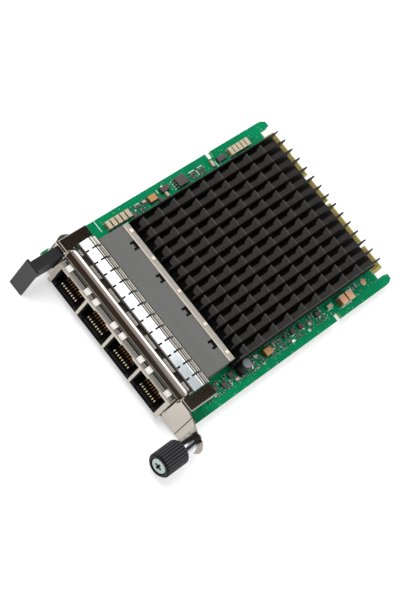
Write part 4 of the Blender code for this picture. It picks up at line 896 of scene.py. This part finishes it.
class ADAPTER_OT_jacks(CardOperator, bpy.types.Operator):
    """Jack shell, its springs, housing and contact wires"""

    bl_idname = "adapter_card.jacks"
    bl_label = "Jacks"

    def execute(self, context):
        low, high = box("jack_shield")
        top = high.z - NOSE_TAB_RISE
        for node, name, finish, slot in (
            ("jack_shield", "jack_shell", "nickel_plate", "nickel_sheet"),
            ("jack_rear_cover", "jack_back", "nickel_lip", "nickel_sheet"),
            ("jack_housing", "jack_insulator", "black_plastic", "black_plastic"),
        ):
            finish_copy(node, name, finish, 0, sharp=5)
        for number in (1, 2, 3, 4):
            dress(f"magnetics_{number}", "black_plastic")
            self.contacts(number)
        self.nose(low.x, high.x, low.y, top)
        self.rim(low.x, high.x, top)
        return {"FINISHED"}

    def contacts(self, number):
        """Eight flat wires that leave the carrier, bend back and rise into the port."""
        node = f"contact_tray_{number}"
        low, high = box(node)
        shelf = low.z + TRAY_HEIGHT
        bends = np.array([(-0.1, -0.5), (0.1, 0.6), (0.7, 0.85), (2.2, 1.3), (6.9, 2.0)])
        path = rounded(bends + (low.y + 1.0, shelf), 0.5)
        pitch, width, thick = 1.02, 0.42, 0.3
        shape = wires(path, middle(node).x + (np.arange(8) - 3.5) * pitch, width, thick)
        add_piece(f"contact_wires_{number}", shape, "contact_wires", replaces=node)
        carrier = boxes_between(low, (high.x, low.y + 2.0, shelf - 0.1), 0.1)
        add_piece(f"contact_carrier_{number}", carrier, "black_plastic")

    def nose(self, left, right, front, top):
        """Spring tabs over the nose, each a low arch, with sunk panels between them."""
        spread, half, clear, wall = 4.8, 1.15, 1.25, 0.6
        start, length, rise, sunk = 0.22, 3.2, 0.62, 0.16
        t = np.linspace(0, 1, 17)
        arch = np.stack([front + start + length * t, top + rise * np.sin(pi * t) ** 0.8 - sunk], -1)
        tabs = np.sort((PORTS[:, None] + [-spread, spread]).ravel())
        springs = [bevelled_prism(arch, x - half, x + half, 0.05, ALONG_X) for x in tabs]
        add_piece("nose_springs", gather(springs), "nose_satin", sharp=25)
        starts = np.concatenate([[left + wall], tabs + clear])
        ends = np.concatenate([tabs - clear, [right - wall]])
        for name, finish, slot, first, last, level, trim in (
            ("nose_shadows", "black_plastic", "black_plastic", 0.82, 2.68, 0.12, 0.02),
            ("nose_panels", "nickel_shade", "nickel_sheet", 0.84, 2.05, 0.04, 0.2),
        ):
            low = np.stack(np.broadcast_arrays(starts + 0.02, front + first, top - sunk), -1)
            high = np.stack(np.broadcast_arrays(ends - trim, front + last, top - level), -1)
            add_piece(name, boxes_between(low, high, 0.015), finish)

    def rim(self, left, right, top):
        """Pale bead across the plate, a painted highlight on its rolled edge, and the plated faces of the
        five catches on the lip behind it.
        """
        low, high = box("jack_rear_cover")
        line = low.y - 0.35
        start, stop = (left + 0.2, line - 0.25, top - 0.1), (right - 0.2, line + 0.15, top + 0.12)
        # Painted highlight: a pale bead along the plate's edge
        add_piece("plate_edge_highlight", boxes_between(start, stop, 0.09), "nickel_satin")
        end = (right - left) / 2 - 3.2
        x = (left + right) / 2 + np.array([-end, -PORT_PITCH, 0, PORT_PITCH, end])
        centres = np.stack(np.broadcast_arrays(x, (low.y + high.y) / 2, high.z - 0.06), -1)
        add_piece("catch_faces", boxes(centres, (1.38, 1.58, 0.2), 0.06), "nickel_satin")


class ADAPTER_OT_bracket(CardOperator, bpy.types.Operator):
    """Faceplate with its hood, the finger strip on top and the spring at the side"""

    bl_idname = "adapter_card.bracket"
    bl_label = "Bracket"

    def execute(self, context):
        finish_copy("bracket", "faceplate", "nickel_bright", 0.08)
        finish_copy("side_spring", "side_contact", "spring_satin", 0)
        self.finger_strip()
        return {"FINISHED"}

    def finger_strip(self):
        """Sheet that follows an S along Y; quads are left out at the slits between fingers."""
        low, high = box("emi_finger_strip")
        sheet, half_slit, bridge_start, bridge = 0.25, 0.33, 2.0, 1.2
        crest, tail, seat = high.z, low.z + sheet, high.z - 0.55
        first, flat, rear = low.y, low.y + 4.6, high.y
        rise = np.array([0, 0.04, 0.1, 0.2, 0.32, 0.435, 0.56, 0.696, 0.8, 0.9, 0.97])
        fall = np.linspace(0, 1, 26)[1:]
        y = np.concatenate([first + (flat - first) * rise, flat + (rear - flat) * fall])
        roll = 0.25 * np.clip(1 - rise / 0.1, 0, 1) ** 2
        z = np.concatenate(
            [seat + (crest - seat) * rise - roll, tail + (crest - tail) * (1 + np.cos(pi * fall)) / 2]
        )
        count, left_margin, right_margin = 12, 3.7, 4.5
        slits = np.linspace(low.x + left_margin, high.x - right_margin, count)
        x = np.sort(np.concatenate([[low.x, high.x], slits - half_slit, slits + half_slit]))
        grid = np.stack(np.broadcast_arrays(x[None, :], y[:, None], z[:, None]), -1)
        middle_x = ((x[1:] + x[:-1]) / 2)[None, :]
        middle_y = ((y[1:] + y[:-1]) / 2)[:, None] - first
        in_slit = (np.abs(middle_x[..., None] - slits) < half_slit).any(-1)
        along = (middle_y > bridge_start + bridge) | ((middle_y > 0.4) & (middle_y < bridge_start))
        shape = thick_sheet(grid, ~(in_slit & along), sheet)
        add_piece("finger_strip", shape, "spring_bright", replaces="emi_finger_strip")


class ADAPTER_OT_pull_tab(CardOperator, bpy.types.Operator):
    """Moulded pull tab"""

    bl_idname = "adapter_card.pull_tab"
    bl_label = "Pull tab"

    def execute(self, context):
        finish_copy("pull_tab", "pull_handle", "charcoal_plastic", 0.15)
        return {"FINISHED"}


class ADAPTER_OT_thumbscrew(CardOperator, bpy.types.Operator):
    """Fluted knob, screw with a cross recess, ferrule and retaining ring"""

    bl_idname = "adapter_card.thumbscrew"
    bl_label = "Thumbscrew"

    def execute(self, context):
        axis = middle("thumbscrew_screw")
        centre = (axis.x, axis.z)
        self.knob(context.scene.card_thumbscrew, centre)
        self.screw(centre)
        self.ferrule(centre)
        dress("retaining_ring", "spring_bright")
        return {"FINISHED"}

    def knob(self, look, centre):
        """Turned body whose outer side falls in at each flute, with a socket in front and a bore behind."""
        low, high = box("thumbscrew_knob")
        front, rear = low.y, high.y
        outer, socket, bore, hole = 4.5, 3.2, 3.5, 1.75
        profile = rounded([
            (hole, front + 1.4), (socket, front + 1.4), (socket, front + 0.1), (socket + 0.15, front),
            (outer - 0.7, front), (outer, front + 0.7), (outer, front + 3), (outer, rear - 3),
            (outer, rear - 0.5), (outer - 0.5, rear), (bore + 0.1, rear), (bore, rear - 0.1),
            (bore, front + 3.2), (hole, front + 3.2), (hole, front + 1.4),
        ], 0.18, 3)
        inner = profile[:, :1] < outer - 0.75
        depth = look.flute_depth / MM

        def groove(_, angle):
            wave = np.clip(1.3 * np.cos(look.flutes * angle) + 0.2, -0.6, 1) / 1.6 + 0.375
            return np.where(inner, 0.0, -depth * np.clip(wave, 0, 1))

        add_piece("knob", turned(profile, centre, look.flutes * 12, groove), "knob_plastic",
                  body="thumbscrew_turn", replaces="thumbscrew_knob", sharp=50)

    def screw(self, centre):
        """Low dome with a cross recess on a shank whose radius follows a triangle wave along a helix."""
        low, high = box("thumbscrew_screw")
        front, behind, tip = low.y, low.y + 1.0, high.y
        ring_low, ring_high = (corner.y for corner in box("retaining_ring"))
        head, shank, groove, pitch, thread_depth = 2.9, 1.45, 0.9, 0.5, 0.28
        disc = np.linspace(0, 0.93, 26)[:, None] * head
        face = np.hstack([disc, front + 0.16 * (disc / head) ** 3])
        body = np.array([
            (head, front + 0.35), (head, behind - 0.05), (head - 0.1, behind), (shank, behind),
            (shank, ring_low - 0.31), (groove, ring_low - 0.3), (groove, ring_high + 0.3),
            (shank, ring_high + 0.31),
        ])
        thread = np.arange(ring_high + 0.5, tip - 0.5, 0.06)
        end = np.array([(shank - 0.1, tip - 0.4), (0.8, tip), (0.0, tip)])
        profile = np.vstack([face, body, np.stack([np.full(len(thread), shank), thread], -1), end])
        first = len(face) + len(body)
        threaded = np.zeros((len(profile), 1))
        threaded[first:first + len(thread)] = 1

        def helix(y, angle):
            turn = y / pitch - angle / (2 * pi)
            return -threaded * thread_depth * np.abs(2 * (turn % 1) - 1)

        points, faces = turned(profile, centre, 96, helix)
        cut_recess(points, len(face), centre, 1.3, 0.38, 0.7)
        add_piece("screw", (points, faces), "zinc_head", body="thumbscrew_turn",
                  replaces="thumbscrew_screw", sharp=40)

    def ferrule(self, centre):
        """Turned barrel with a narrower neck through the ear."""
        low, high = box("thumbscrew_ferrule")
        front, rear, seat = low.y, high.y, FACE_FRONT - 0.05
        barrel, bore, neck = 3.2, 1.75, 2.4
        profile = rounded([
            (bore, rear), (bore, front), (barrel, front), (barrel, seat),
            (neck, seat), (neck, rear), (bore, rear),
        ], 0.12)
        add_piece("ferrule", turned(profile, centre, 64), "ferrule_nickel",
                  replaces="thumbscrew_ferrule")


class ADAPTER_OT_board_parts(CardOperator, bpy.types.Operator):
    """Capacitors, chips and other parts soldered on the board, and the screws from below"""

    bl_idname = "adapter_card.board_parts"
    bl_label = "Board parts"

    def execute(self, context):
        self.end_caps("capacitor_ends", CHIP_CAPACITORS, "ceramic_tan", 0.5)
        self.end_caps("output_ends", OUTPUT_CAPACITORS, "ceramic_copper", 0.45)
        finish_copy("memory_chip", "memory_chip_body", "chip_epoxy", 0.12)
        finish_copy("power_chip", "power_chip_body", "chip_epoxy", 0.12)
        finish_copy("moulded_capacitor", "moulded_body", "orange_resin", 0.12)
        self.can()
        self.leads()
        self.small_parts()
        self.tiny_parts()
        self.silk_marks()
        self.pads()
        self.screws()
        return {"FINISHED"}

    def end_caps(self, name, nodes, finish, cap):
        """Silver end caps that wrap ceramic blocks by a hair, at both ends along X."""
        for node in nodes:
            dress(node, finish)
        low, high = np.array([box(node) for node in nodes]).transpose(1, 0, 2)
        skin = 0.03
        centres = (low + high) / 2 - (0, 0, 0.15)
        size = high - low + 2 * skin + (0, 0, 0.28)
        shift = (size - cap) / 2 * (1, 0, 0)
        size[:, 0] = cap
        add_piece(name, end_pairs(centres, shift, size, 0.06), "solder_dull")

    def can(self):
        """Drawn can with a rolled groove above a chamfered plastic base."""
        node = "electrolytic_capacitor"
        low, high = box(node)
        centre = middle(node)
        base = low.z + 0.8
        outer, waist = 1.78, 1.6
        profile = rounded([
            (0, base), (outer, base), (outer, base + 0.5), (waist, base + 0.8), (outer, base + 1.1),
            (outer, high.z), (0, high.z),
        ], 0.2)
        points, faces = turned(profile, (0, 0), 40)
        add_piece("capacitor_can", (set_upright(points, centre), faces), "can_aluminium",
                  replaces=node)
        half, cut = 2.0, 1.4
        outline = np.array([
            (-half, -half), (half, -half), (half, cut), (cut, half), (-cut, half), (-half, cut),
        ])
        foot = bevelled_prism(outline + (centre.x, centre.y), low.z - 0.27, base - 0.01, 0.1, ALONG_Z)
        add_piece("capacitor_foot", foot, "black_plastic")

    def leads(self):
        """Bent leads on two sides of the memory chip, each a flat wire down to the board."""
        low, high = box("memory_chip")
        pitch, width, thick = 1.05, 0.5, 0.16
        places = middle("memory_chip").x + (np.arange(4) - 1.5) * pitch
        shapes = []
        for edge, out in ((low.y, -1), (high.y, 1)):
            bends = np.array([(-0.05, 0.9), (0.35, 0.88), (0.55, 0.1), (1.3, 0.0)])
            path = rounded(bends * (out, 1) + (edge, BOARD_TOP + 0.1), 0.25)
            shapes.append(wires(path, places, width, thick))
        add_piece("chip_leads", gather(shapes), "solder_tin")

    def on_board(self, rows):
        """Centres and sizes of blocks that stand on the board."""
        rows = np.array(rows)
        return np.column_stack([rows[:, :2], BOARD_TOP + rows[:, 4] / 2]), rows[:, 2:]

    def small_parts(self):
        """Rows of (x, y, length along x, length along y, height) for each finish, with tinned ends."""
        tan = [
            (-33.6, -33.2, 2.4, 1.4, 0.9), (-32.9, -58.2, 2.2, 1.3, 0.9), (-34.6, -68.4, 0.9, 1.5, 0.7),
            (32.2, -32.0, 1.4, 2.4, 1.0), (34.0, -84.0, 1.0, 1.7, 0.7), (33.1, -44.2, 1.2, 1.3, 0.7),
            (31.3, -72.0, 0.9, 1.6, 0.7),
        ]
        dark = [
            (-34.3, -38.5, 0.8, 1.8, 0.45), (-34.3, -42.6, 0.8, 2.6, 0.45), (-32.6, -38.5, 0.8, 1.7, 0.45),
            (-32.6, -43.2, 0.8, 1.8, 0.45), (-34.3, -71.6, 0.8, 2.2, 0.45), (-32.6, -70.6, 0.8, 1.7, 0.45),
            (31.8, -63.8, 1.4, 2.2, 0.6), (31.1, -60.6, 0.7, 1.3, 0.45), (32.3, -60.2, 0.7, 1.3, 0.45),
            (31.0, -41.6, 0.8, 1.5, 0.45), (31.6, -17.2, 0.8, 1.6, 0.45), (30.9, -76.0, 0.9, 1.6, 0.5),
            (34.8, -88.2, 0.8, 1.6, 0.45),
        ]
        chips = [
            (-33.6, -28.3, 2.0, 4.4, 1.1), (-32.0, -61.6, 1.8, 2.0, 0.8), (-31.9, -75.0, 1.6, 2.0, 0.8),
            (32.0, -38.6, 1.9, 2.4, 1.0), (31.9, -47.9, 2.0, 2.0, 0.8), (31.8, -52.4, 1.8, 1.7, 0.8),
            (31.6, -56.3, 1.5, 1.6, 0.7), (31.5, -85.2, 1.9, 2.3, 0.9), (33.0, -89.8, 1.7, 2.3, 0.9),
            (32.3, -94.0, 1.8, 2.0, 0.9), (33.6, -98.6, 2.0, 2.2, 0.9),
        ]
        orange = [(-34.0, -64.9, 2.4, 3.6, 1.6)]
        for name, rows, finish, slot in (
            ("tan_parts", tan, "ceramic_tan", "ceramic"),
            ("dark_parts", dark, "chip_epoxy", "black_plastic"),
            ("chip_parts", chips, "chip_epoxy", "black_plastic"),
            ("orange_part", orange, "orange_resin", "orange_resin"),
        ):
            add_piece(name, boxes(*self.on_board(rows), 0.08), finish)
        cap, skin = 0.4, 0.05
        centres, size = self.on_board(tan + dark)
        lengthwise = size[:, :1] >= size[:, 1:2]
        shift = np.where(lengthwise, (1, 0, 0), (0, 1, 0)) * size / 2
        cap_size = np.where(shift > 0, cap, size + skin)
        add_piece("part_ends", end_pairs(centres, shift, cap_size, 0.05), "solder_tin")

    def tiny_parts(self):
        """Seeded places on a grid over the crowded strips, each a small block with tinned ends."""
        seeded = np.random.default_rng(5)
        pitch_x, pitch_y, jitter, room, filled = 1.3, 1.15, 0.12, 0.5, 0.62
        places = []
        for left, right, first, last in (
            (30.85, 34.8, -99.0, -36.0), (-35.0, -31.4, -47.2, -37.2), (-35.0, -31.4, -76.6, -61.0),
        ):
            grid = np.meshgrid(np.arange(left, right, pitch_x), np.arange(first, last, pitch_y))
            places.append(np.stack(grid, -1).reshape(-1, 2))
        places = np.vstack(places)
        places += seeded.uniform(-jitter, jitter, places.shape)
        others = [box(node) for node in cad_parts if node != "circuit_board"]
        low, high = np.array(others).transpose(1, 0, 2)
        near = (high[:, 2] < BOARD_TOP + 8) & (low[:, 2] > 0)
        low, high = low[near, :2] - room, high[near, :2] + room
        taken = ((places[:, None] > low) & (places[:, None] < high)).all(-1).any(1)
        places = places[~taken & (seeded.random(len(places)) < filled)]
        count = len(places)
        turned_round = seeded.random((count, 1)) < 0.5
        long, short, height, cap, reach = 0.5, 0.46, 0.4, 0.24, 0.36
        centres = np.column_stack([places, np.full(count, BOARD_TOP + height / 2)])
        size = np.where(turned_round, (short, long, height), (long, short, height))
        add_piece("tiny_parts", boxes(centres, size, 0.04), "chip_epoxy")
        shift = np.where(turned_round, (0, reach, 0), (reach, 0, 0))
        cap_size = np.where(turned_round, (short, cap, height), (cap, short, height))
        add_piece("tiny_ends", end_pairs(centres, shift, cap_size, 0.04), "solder_tin")

    def silk_marks(self):
        """White lines beside parts, in rows of (x, y, length along x, length along y)."""
        rows = np.array([
            (-35.6, -90.3, 4.8, 0.2), (-36.0, -57.6, 0.7, 0.9), (-35.2, -38.4, 0.2, 2.6),
            (-35.2, -43.0, 0.2, 3.4), (-33.5, -40.7, 2.4, 0.2), (-35.2, -71.6, 0.2, 3.0),
            (-33.6, -73.6, 0.2, 1.8), (-32.6, -31.2, 3.0, 0.2), (-35.2, -60.6, 1.6, 0.2),
            (-35.4, -50.0, 0.2, 3.8), (34.6, -82.5, 0.2, 3.4), (33.7, -86.6, 1.9, 0.2),
            (34.9, -45.4, 0.9, 1.0), (34.7, -54.2, 0.9, 1.6), (33.2, -48.0, 0.2, 2.4),
            (33.1, -52.6, 0.2, 2.0), (32.9, -63.9, 0.2, 2.6), (30.8, -36.4, 2.4, 0.2),
            (33.3, -38.5, 0.2, 2.8), (31.6, -30.2, 0.2, 1.0), (31.5, -15.8, 1.8, 0.2),
            (31.5, -18.6, 1.8, 0.2), (35.3, -24.4, 0.2, 5.6), (33.2, -32.0, 0.2, 2.9),
            (34.5, -94.2, 0.2, 2.8), (31.0, -91.6, 1.6, 0.2), (32.6, -67.0, 0.2, 0.8),
            (33.6, -75.6, 1.2, 0.8), (34.9, -70.4, 0.8, 0.8),
        ])
        count, lift, thick = len(rows), 0.01, 0.04
        centres = np.column_stack([rows[:, :2], np.full(count, BOARD_TOP + lift)])
        sizes = np.column_stack([rows[:, 2:], np.full(count, thick)])
        add_piece("silk_marks", boxes(centres, sizes, 0.01), "silk_ink")

    def pads(self):
        """Tinned spots at seeded places and one round copper pad."""
        seeded = np.random.default_rng(11)
        count, lift, thick = 150, 0.012, 0.05
        y = seeded.uniform(-86, -10, count)
        side = np.where(seeded.random(count) < 0.4, -1, 1)
        x = side * seeded.uniform(30.8, 35.4, count)
        wide = seeded.choice([0.3, 0.45, 0.6], count, p=[0.5, 0.35, 0.15])
        centres = np.stack([x, y, np.full(count, BOARD_TOP + lift)], -1)
        sizes = np.stack([wide, wide * seeded.choice([1.0, 1.8], count), np.full(count, thick)], -1)
        add_piece("tinned_pads", boxes(centres, sizes, 0.02), "solder_tin")
        angle = np.linspace(0, 2 * pi, 32, endpoint=False)
        x, y, radius = 32.3, -11.8, 1.2
        disc = np.stack([x + radius * np.cos(angle), y + radius * np.sin(angle)], -1)
        pad = bevelled_prism(disc, BOARD_TOP - 0.02, BOARD_TOP + 0.04, 0.01, ALONG_Z)
        add_piece("fiducial_pad", pad, "ceramic_copper")

    def screws(self):
        """Pan heads under the board, each a dome with a cross recess on a plain shank."""
        head, shank, chamfer, under = 2.2, 1.0, 0.2, BOARD_BOTTOM - 0.3
        for node in SCREWS:
            low, high = box(node)
            disc = np.linspace(0, 1, 22)[:, None] * head
            dome = np.hstack([disc, low.z + 0.55 * (disc / head) ** 2.5])
            body = np.array([
                (head, under), (shank, under), (shank, high.z - chamfer), (shank - chamfer, high.z),
                (0, high.z),
            ])
            points, faces = turned(np.vstack([dome, body]), (0, 0), 64)
            cut_recess(points, len(dome), (0, 0), 1.2, 0.34, 0.6)
            shape = set_upright(points, middle(node)), faces
            name = node.replace("screw", "fastener")
            add_piece(name, shape, "zinc_plate", replaces=node, sharp=40)


class ADAPTER_OT_stage(CardOperator, bpy.types.Operator):
    """Floor, soft light and camera"""

    bl_idname = "adapter_card.stage"
    bl_label = "Stage"

    def execute(self, context):
        look = context.scene.card_stage
        context.scene.view_settings.view_transform = "Standard"
        self.floor(context, look)
        self.studio(context, look)
        self.lamps(context, look)
        self.camera(context, look)
        return {"FINISHED"}

    def floor(self, context, look):
        """Wide flat disc just under the lowest point of the card."""
        radius, steps = 4, 64
        level = CAD_BOX[0][2] - 0.05 * MM
        angle = np.linspace(0, 2 * pi, steps, endpoint=False)
        rim = np.stack([radius * np.cos(angle), radius * np.sin(angle), np.full(steps, level)], -1)
        mesh = bpy.data.meshes.new("floor")
        mesh.from_pydata(rim.tolist(), [], [list(range(steps))])
        nodes, place = start_material("floor_paper")
        fibre = nodes.noise(place, 40.0, 3.0)
        tone = nodes.blend(fibre, shade(look.floor, 0.495), shade(look.floor, 0.5))
        nodes.surface(colour=tone, glow=(1, 1, 1), glow_strength=0.5, roughness=0.9, gloss=0.1)
        mesh.materials.append(MATERIALS["floor_paper"])
        floor = bpy.data.objects.new("floor", mesh)
        context.scene.collection.objects.link(floor)

    def studio(self, context, look):
        """Even white light for matt surfaces; metals see pale, beige and dark bands and two slate patches."""
        world = bpy.data.worlds.new("studio")
        context.scene.world = world
        world.use_nodes = True
        world.node_tree.nodes.clear()
        nodes = Nodes(world.node_tree)
        x, y, z = nodes.axes(nodes.add("ShaderNodeTexCoord").outputs["Generated"])
        dark, pale, beige = (0.035, 0.028, 0.023, 1), (1.5, 1.54, 1.62, 1), (0.78, 0.74, 0.68, 1)
        dim, grey, slate = (0.1, 0.09, 0.09, 1), (0.32, 0.28, 0.29, 1), (0.3, 0.36, 0.39)
        skies = []
        for ladder in (
            ((0.3, beige), (0.52, dark), (0.82, dark), (0.84, pale), (0.955, pale), (0.97, dim),
             (0.985, grey)),
            ((0.0, beige), (0.2, beige), (0.3, dark), (0.945, dark), (0.975, grey)),
        ):
            bands = nodes.add("ShaderNodeValToRGB", {"Fac": z})
            stops = bands.color_ramp.elements
            stops[0].position, stops[0].color = ladder[0]
            stops[1].position, stops[1].color = ladder[-1]
            for position, colour in ladder[1:-1]:
                stops.new(position).color = colour
            skies.append(bands.outputs["Color"])
        sky = nodes.blend(nodes.ramp(y, 0.1, -0.2), *skies)
        for start, low, high in ((-0.1, 0.903, 0.942), (-0.03, 0.75, 0.845)):
            patch = nodes.times(nodes.inside(x, start, 0.28, 0.02), nodes.inside(z, low, high, 0.008))
            sky = nodes.blend(patch, sky, slate)
        seen = nodes.add("ShaderNodeLightPath").outputs
        even, bands, white = (
            nodes.add("ShaderNodeBackground", {"Color": colour, "Strength": strength}).outputs[0]
            for colour, strength in (((1, 1, 1), look.fill), (sky, 1.15), ((1, 1, 1), 1.0))
        )
        lit = nodes.add("ShaderNodeMixShader", {0: seen["Is Glossy Ray"], 1: even, 2: bands}).outputs[0]
        direct = nodes.maths("MAXIMUM", seen["Is Camera Ray"], seen["Is Transmission Ray"])
        final = nodes.add("ShaderNodeMixShader", {0: direct, 1: lit, 2: white}).outputs[0]
        nodes.add("ShaderNodeOutputWorld", {"Surface": final})

    def lamps(self, context, look):
        """Large soft lamps that reflections don't show, aimed at the middle of the card."""
        aim = Vector((0, -0.06, 0))
        for name, place, size, share in (
            ("key", (-0.35, -0.25, 0.75), 0.6, 1.0),
            ("rim", (0.45, 0.35, 0.55), 0.5, 0.35),
        ):
            lamp = bpy.data.lights.new(name, "AREA")
            lamp.energy = look.key * share
            lamp.size = size
            holder = bpy.data.objects.new(name, lamp)
            holder.location = place
            holder.rotation_euler = (aim - Vector(place)).to_track_quat("-Z", "Y").to_euler()
            holder.visible_glossy = False
            context.scene.collection.objects.link(holder)

    def camera(self, context, look):
        """Camera on a sphere round its target, turned about its own axis as the photograph is."""
        target = Vector((5.3, -79.2, 5.8)) * MM
        turn = Matrix.Rotation(look.azimuth, 4, "Z") @ Matrix.Rotation(pi / 2 - look.elevation, 4, "X")
        place = Matrix.Translation(target) @ turn @ Matrix.Translation((0, 0, look.distance))
        data = bpy.data.cameras.new("camera")
        data.sensor_fit = "VERTICAL"
        data.sensor_height = 36
        data.lens = look.lens
        data.clip_start = 0.01
        camera = bpy.data.objects.new("camera", data)
        camera.matrix_world = place @ Matrix.Rotation(look.roll, 4, "Z")
        context.scene.collection.objects.link(camera)
        context.scene.camera = camera


PIECES = (
    ADAPTER_OT_finishes,
    ADAPTER_OT_board,
    ADAPTER_OT_heat_sink,
    ADAPTER_OT_jacks,
    ADAPTER_OT_bracket,
    ADAPTER_OT_pull_tab,
    ADAPTER_OT_thumbscrew,
    ADAPTER_OT_board_parts,
    ADAPTER_OT_stage,
)
LOOKS = {
    "card_board": BoardLook,
    "card_metal": MetalLook,
    "card_thumbscrew": ThumbscrewLook,
    "card_stage": StageLook,
}


class ADAPTER_PT_card(bpy.types.Panel):
    """Lists the pieces and their settings"""

    bl_idname = "ADAPTER_PT_card"
    bl_label = "Network adapter card"
    bl_space_type = "VIEW_3D"
    bl_region_type = "UI"
    bl_category = "Card"

    def draw(self, context):
        for piece in PIECES:
            self.layout.operator(piece.bl_idname)
        for label, look in LOOKS.items():
            group = getattr(context.scene, label)
            part = self.layout.box()
            for key in look.__annotations__:
                part.prop(group, key)


CLASSES = (*LOOKS.values(), *PIECES, ADAPTER_PT_card)


def register():
    for item in CLASSES:
        bpy.utils.register_class(item)
    for label, look in LOOKS.items():
        setattr(bpy.types.Scene, label, bpy.props.PointerProperty(type=look))


def unregister():
    for label in LOOKS:
        delattr(bpy.types.Scene, label)
    for item in reversed(CLASSES):
        bpy.utils.unregister_class(item)


def main():
    register()
    bpy.ops.adapter_card.finishes()
    bpy.ops.adapter_card.board()
    bpy.ops.adapter_card.heat_sink()
    bpy.ops.adapter_card.jacks()
    bpy.ops.adapter_card.bracket()
    bpy.ops.adapter_card.pull_tab()
    bpy.ops.adapter_card.thumbscrew()
    bpy.ops.adapter_card.board_parts()
    bpy.ops.adapter_card.stage()


if __name__ == "__main__":
    main()
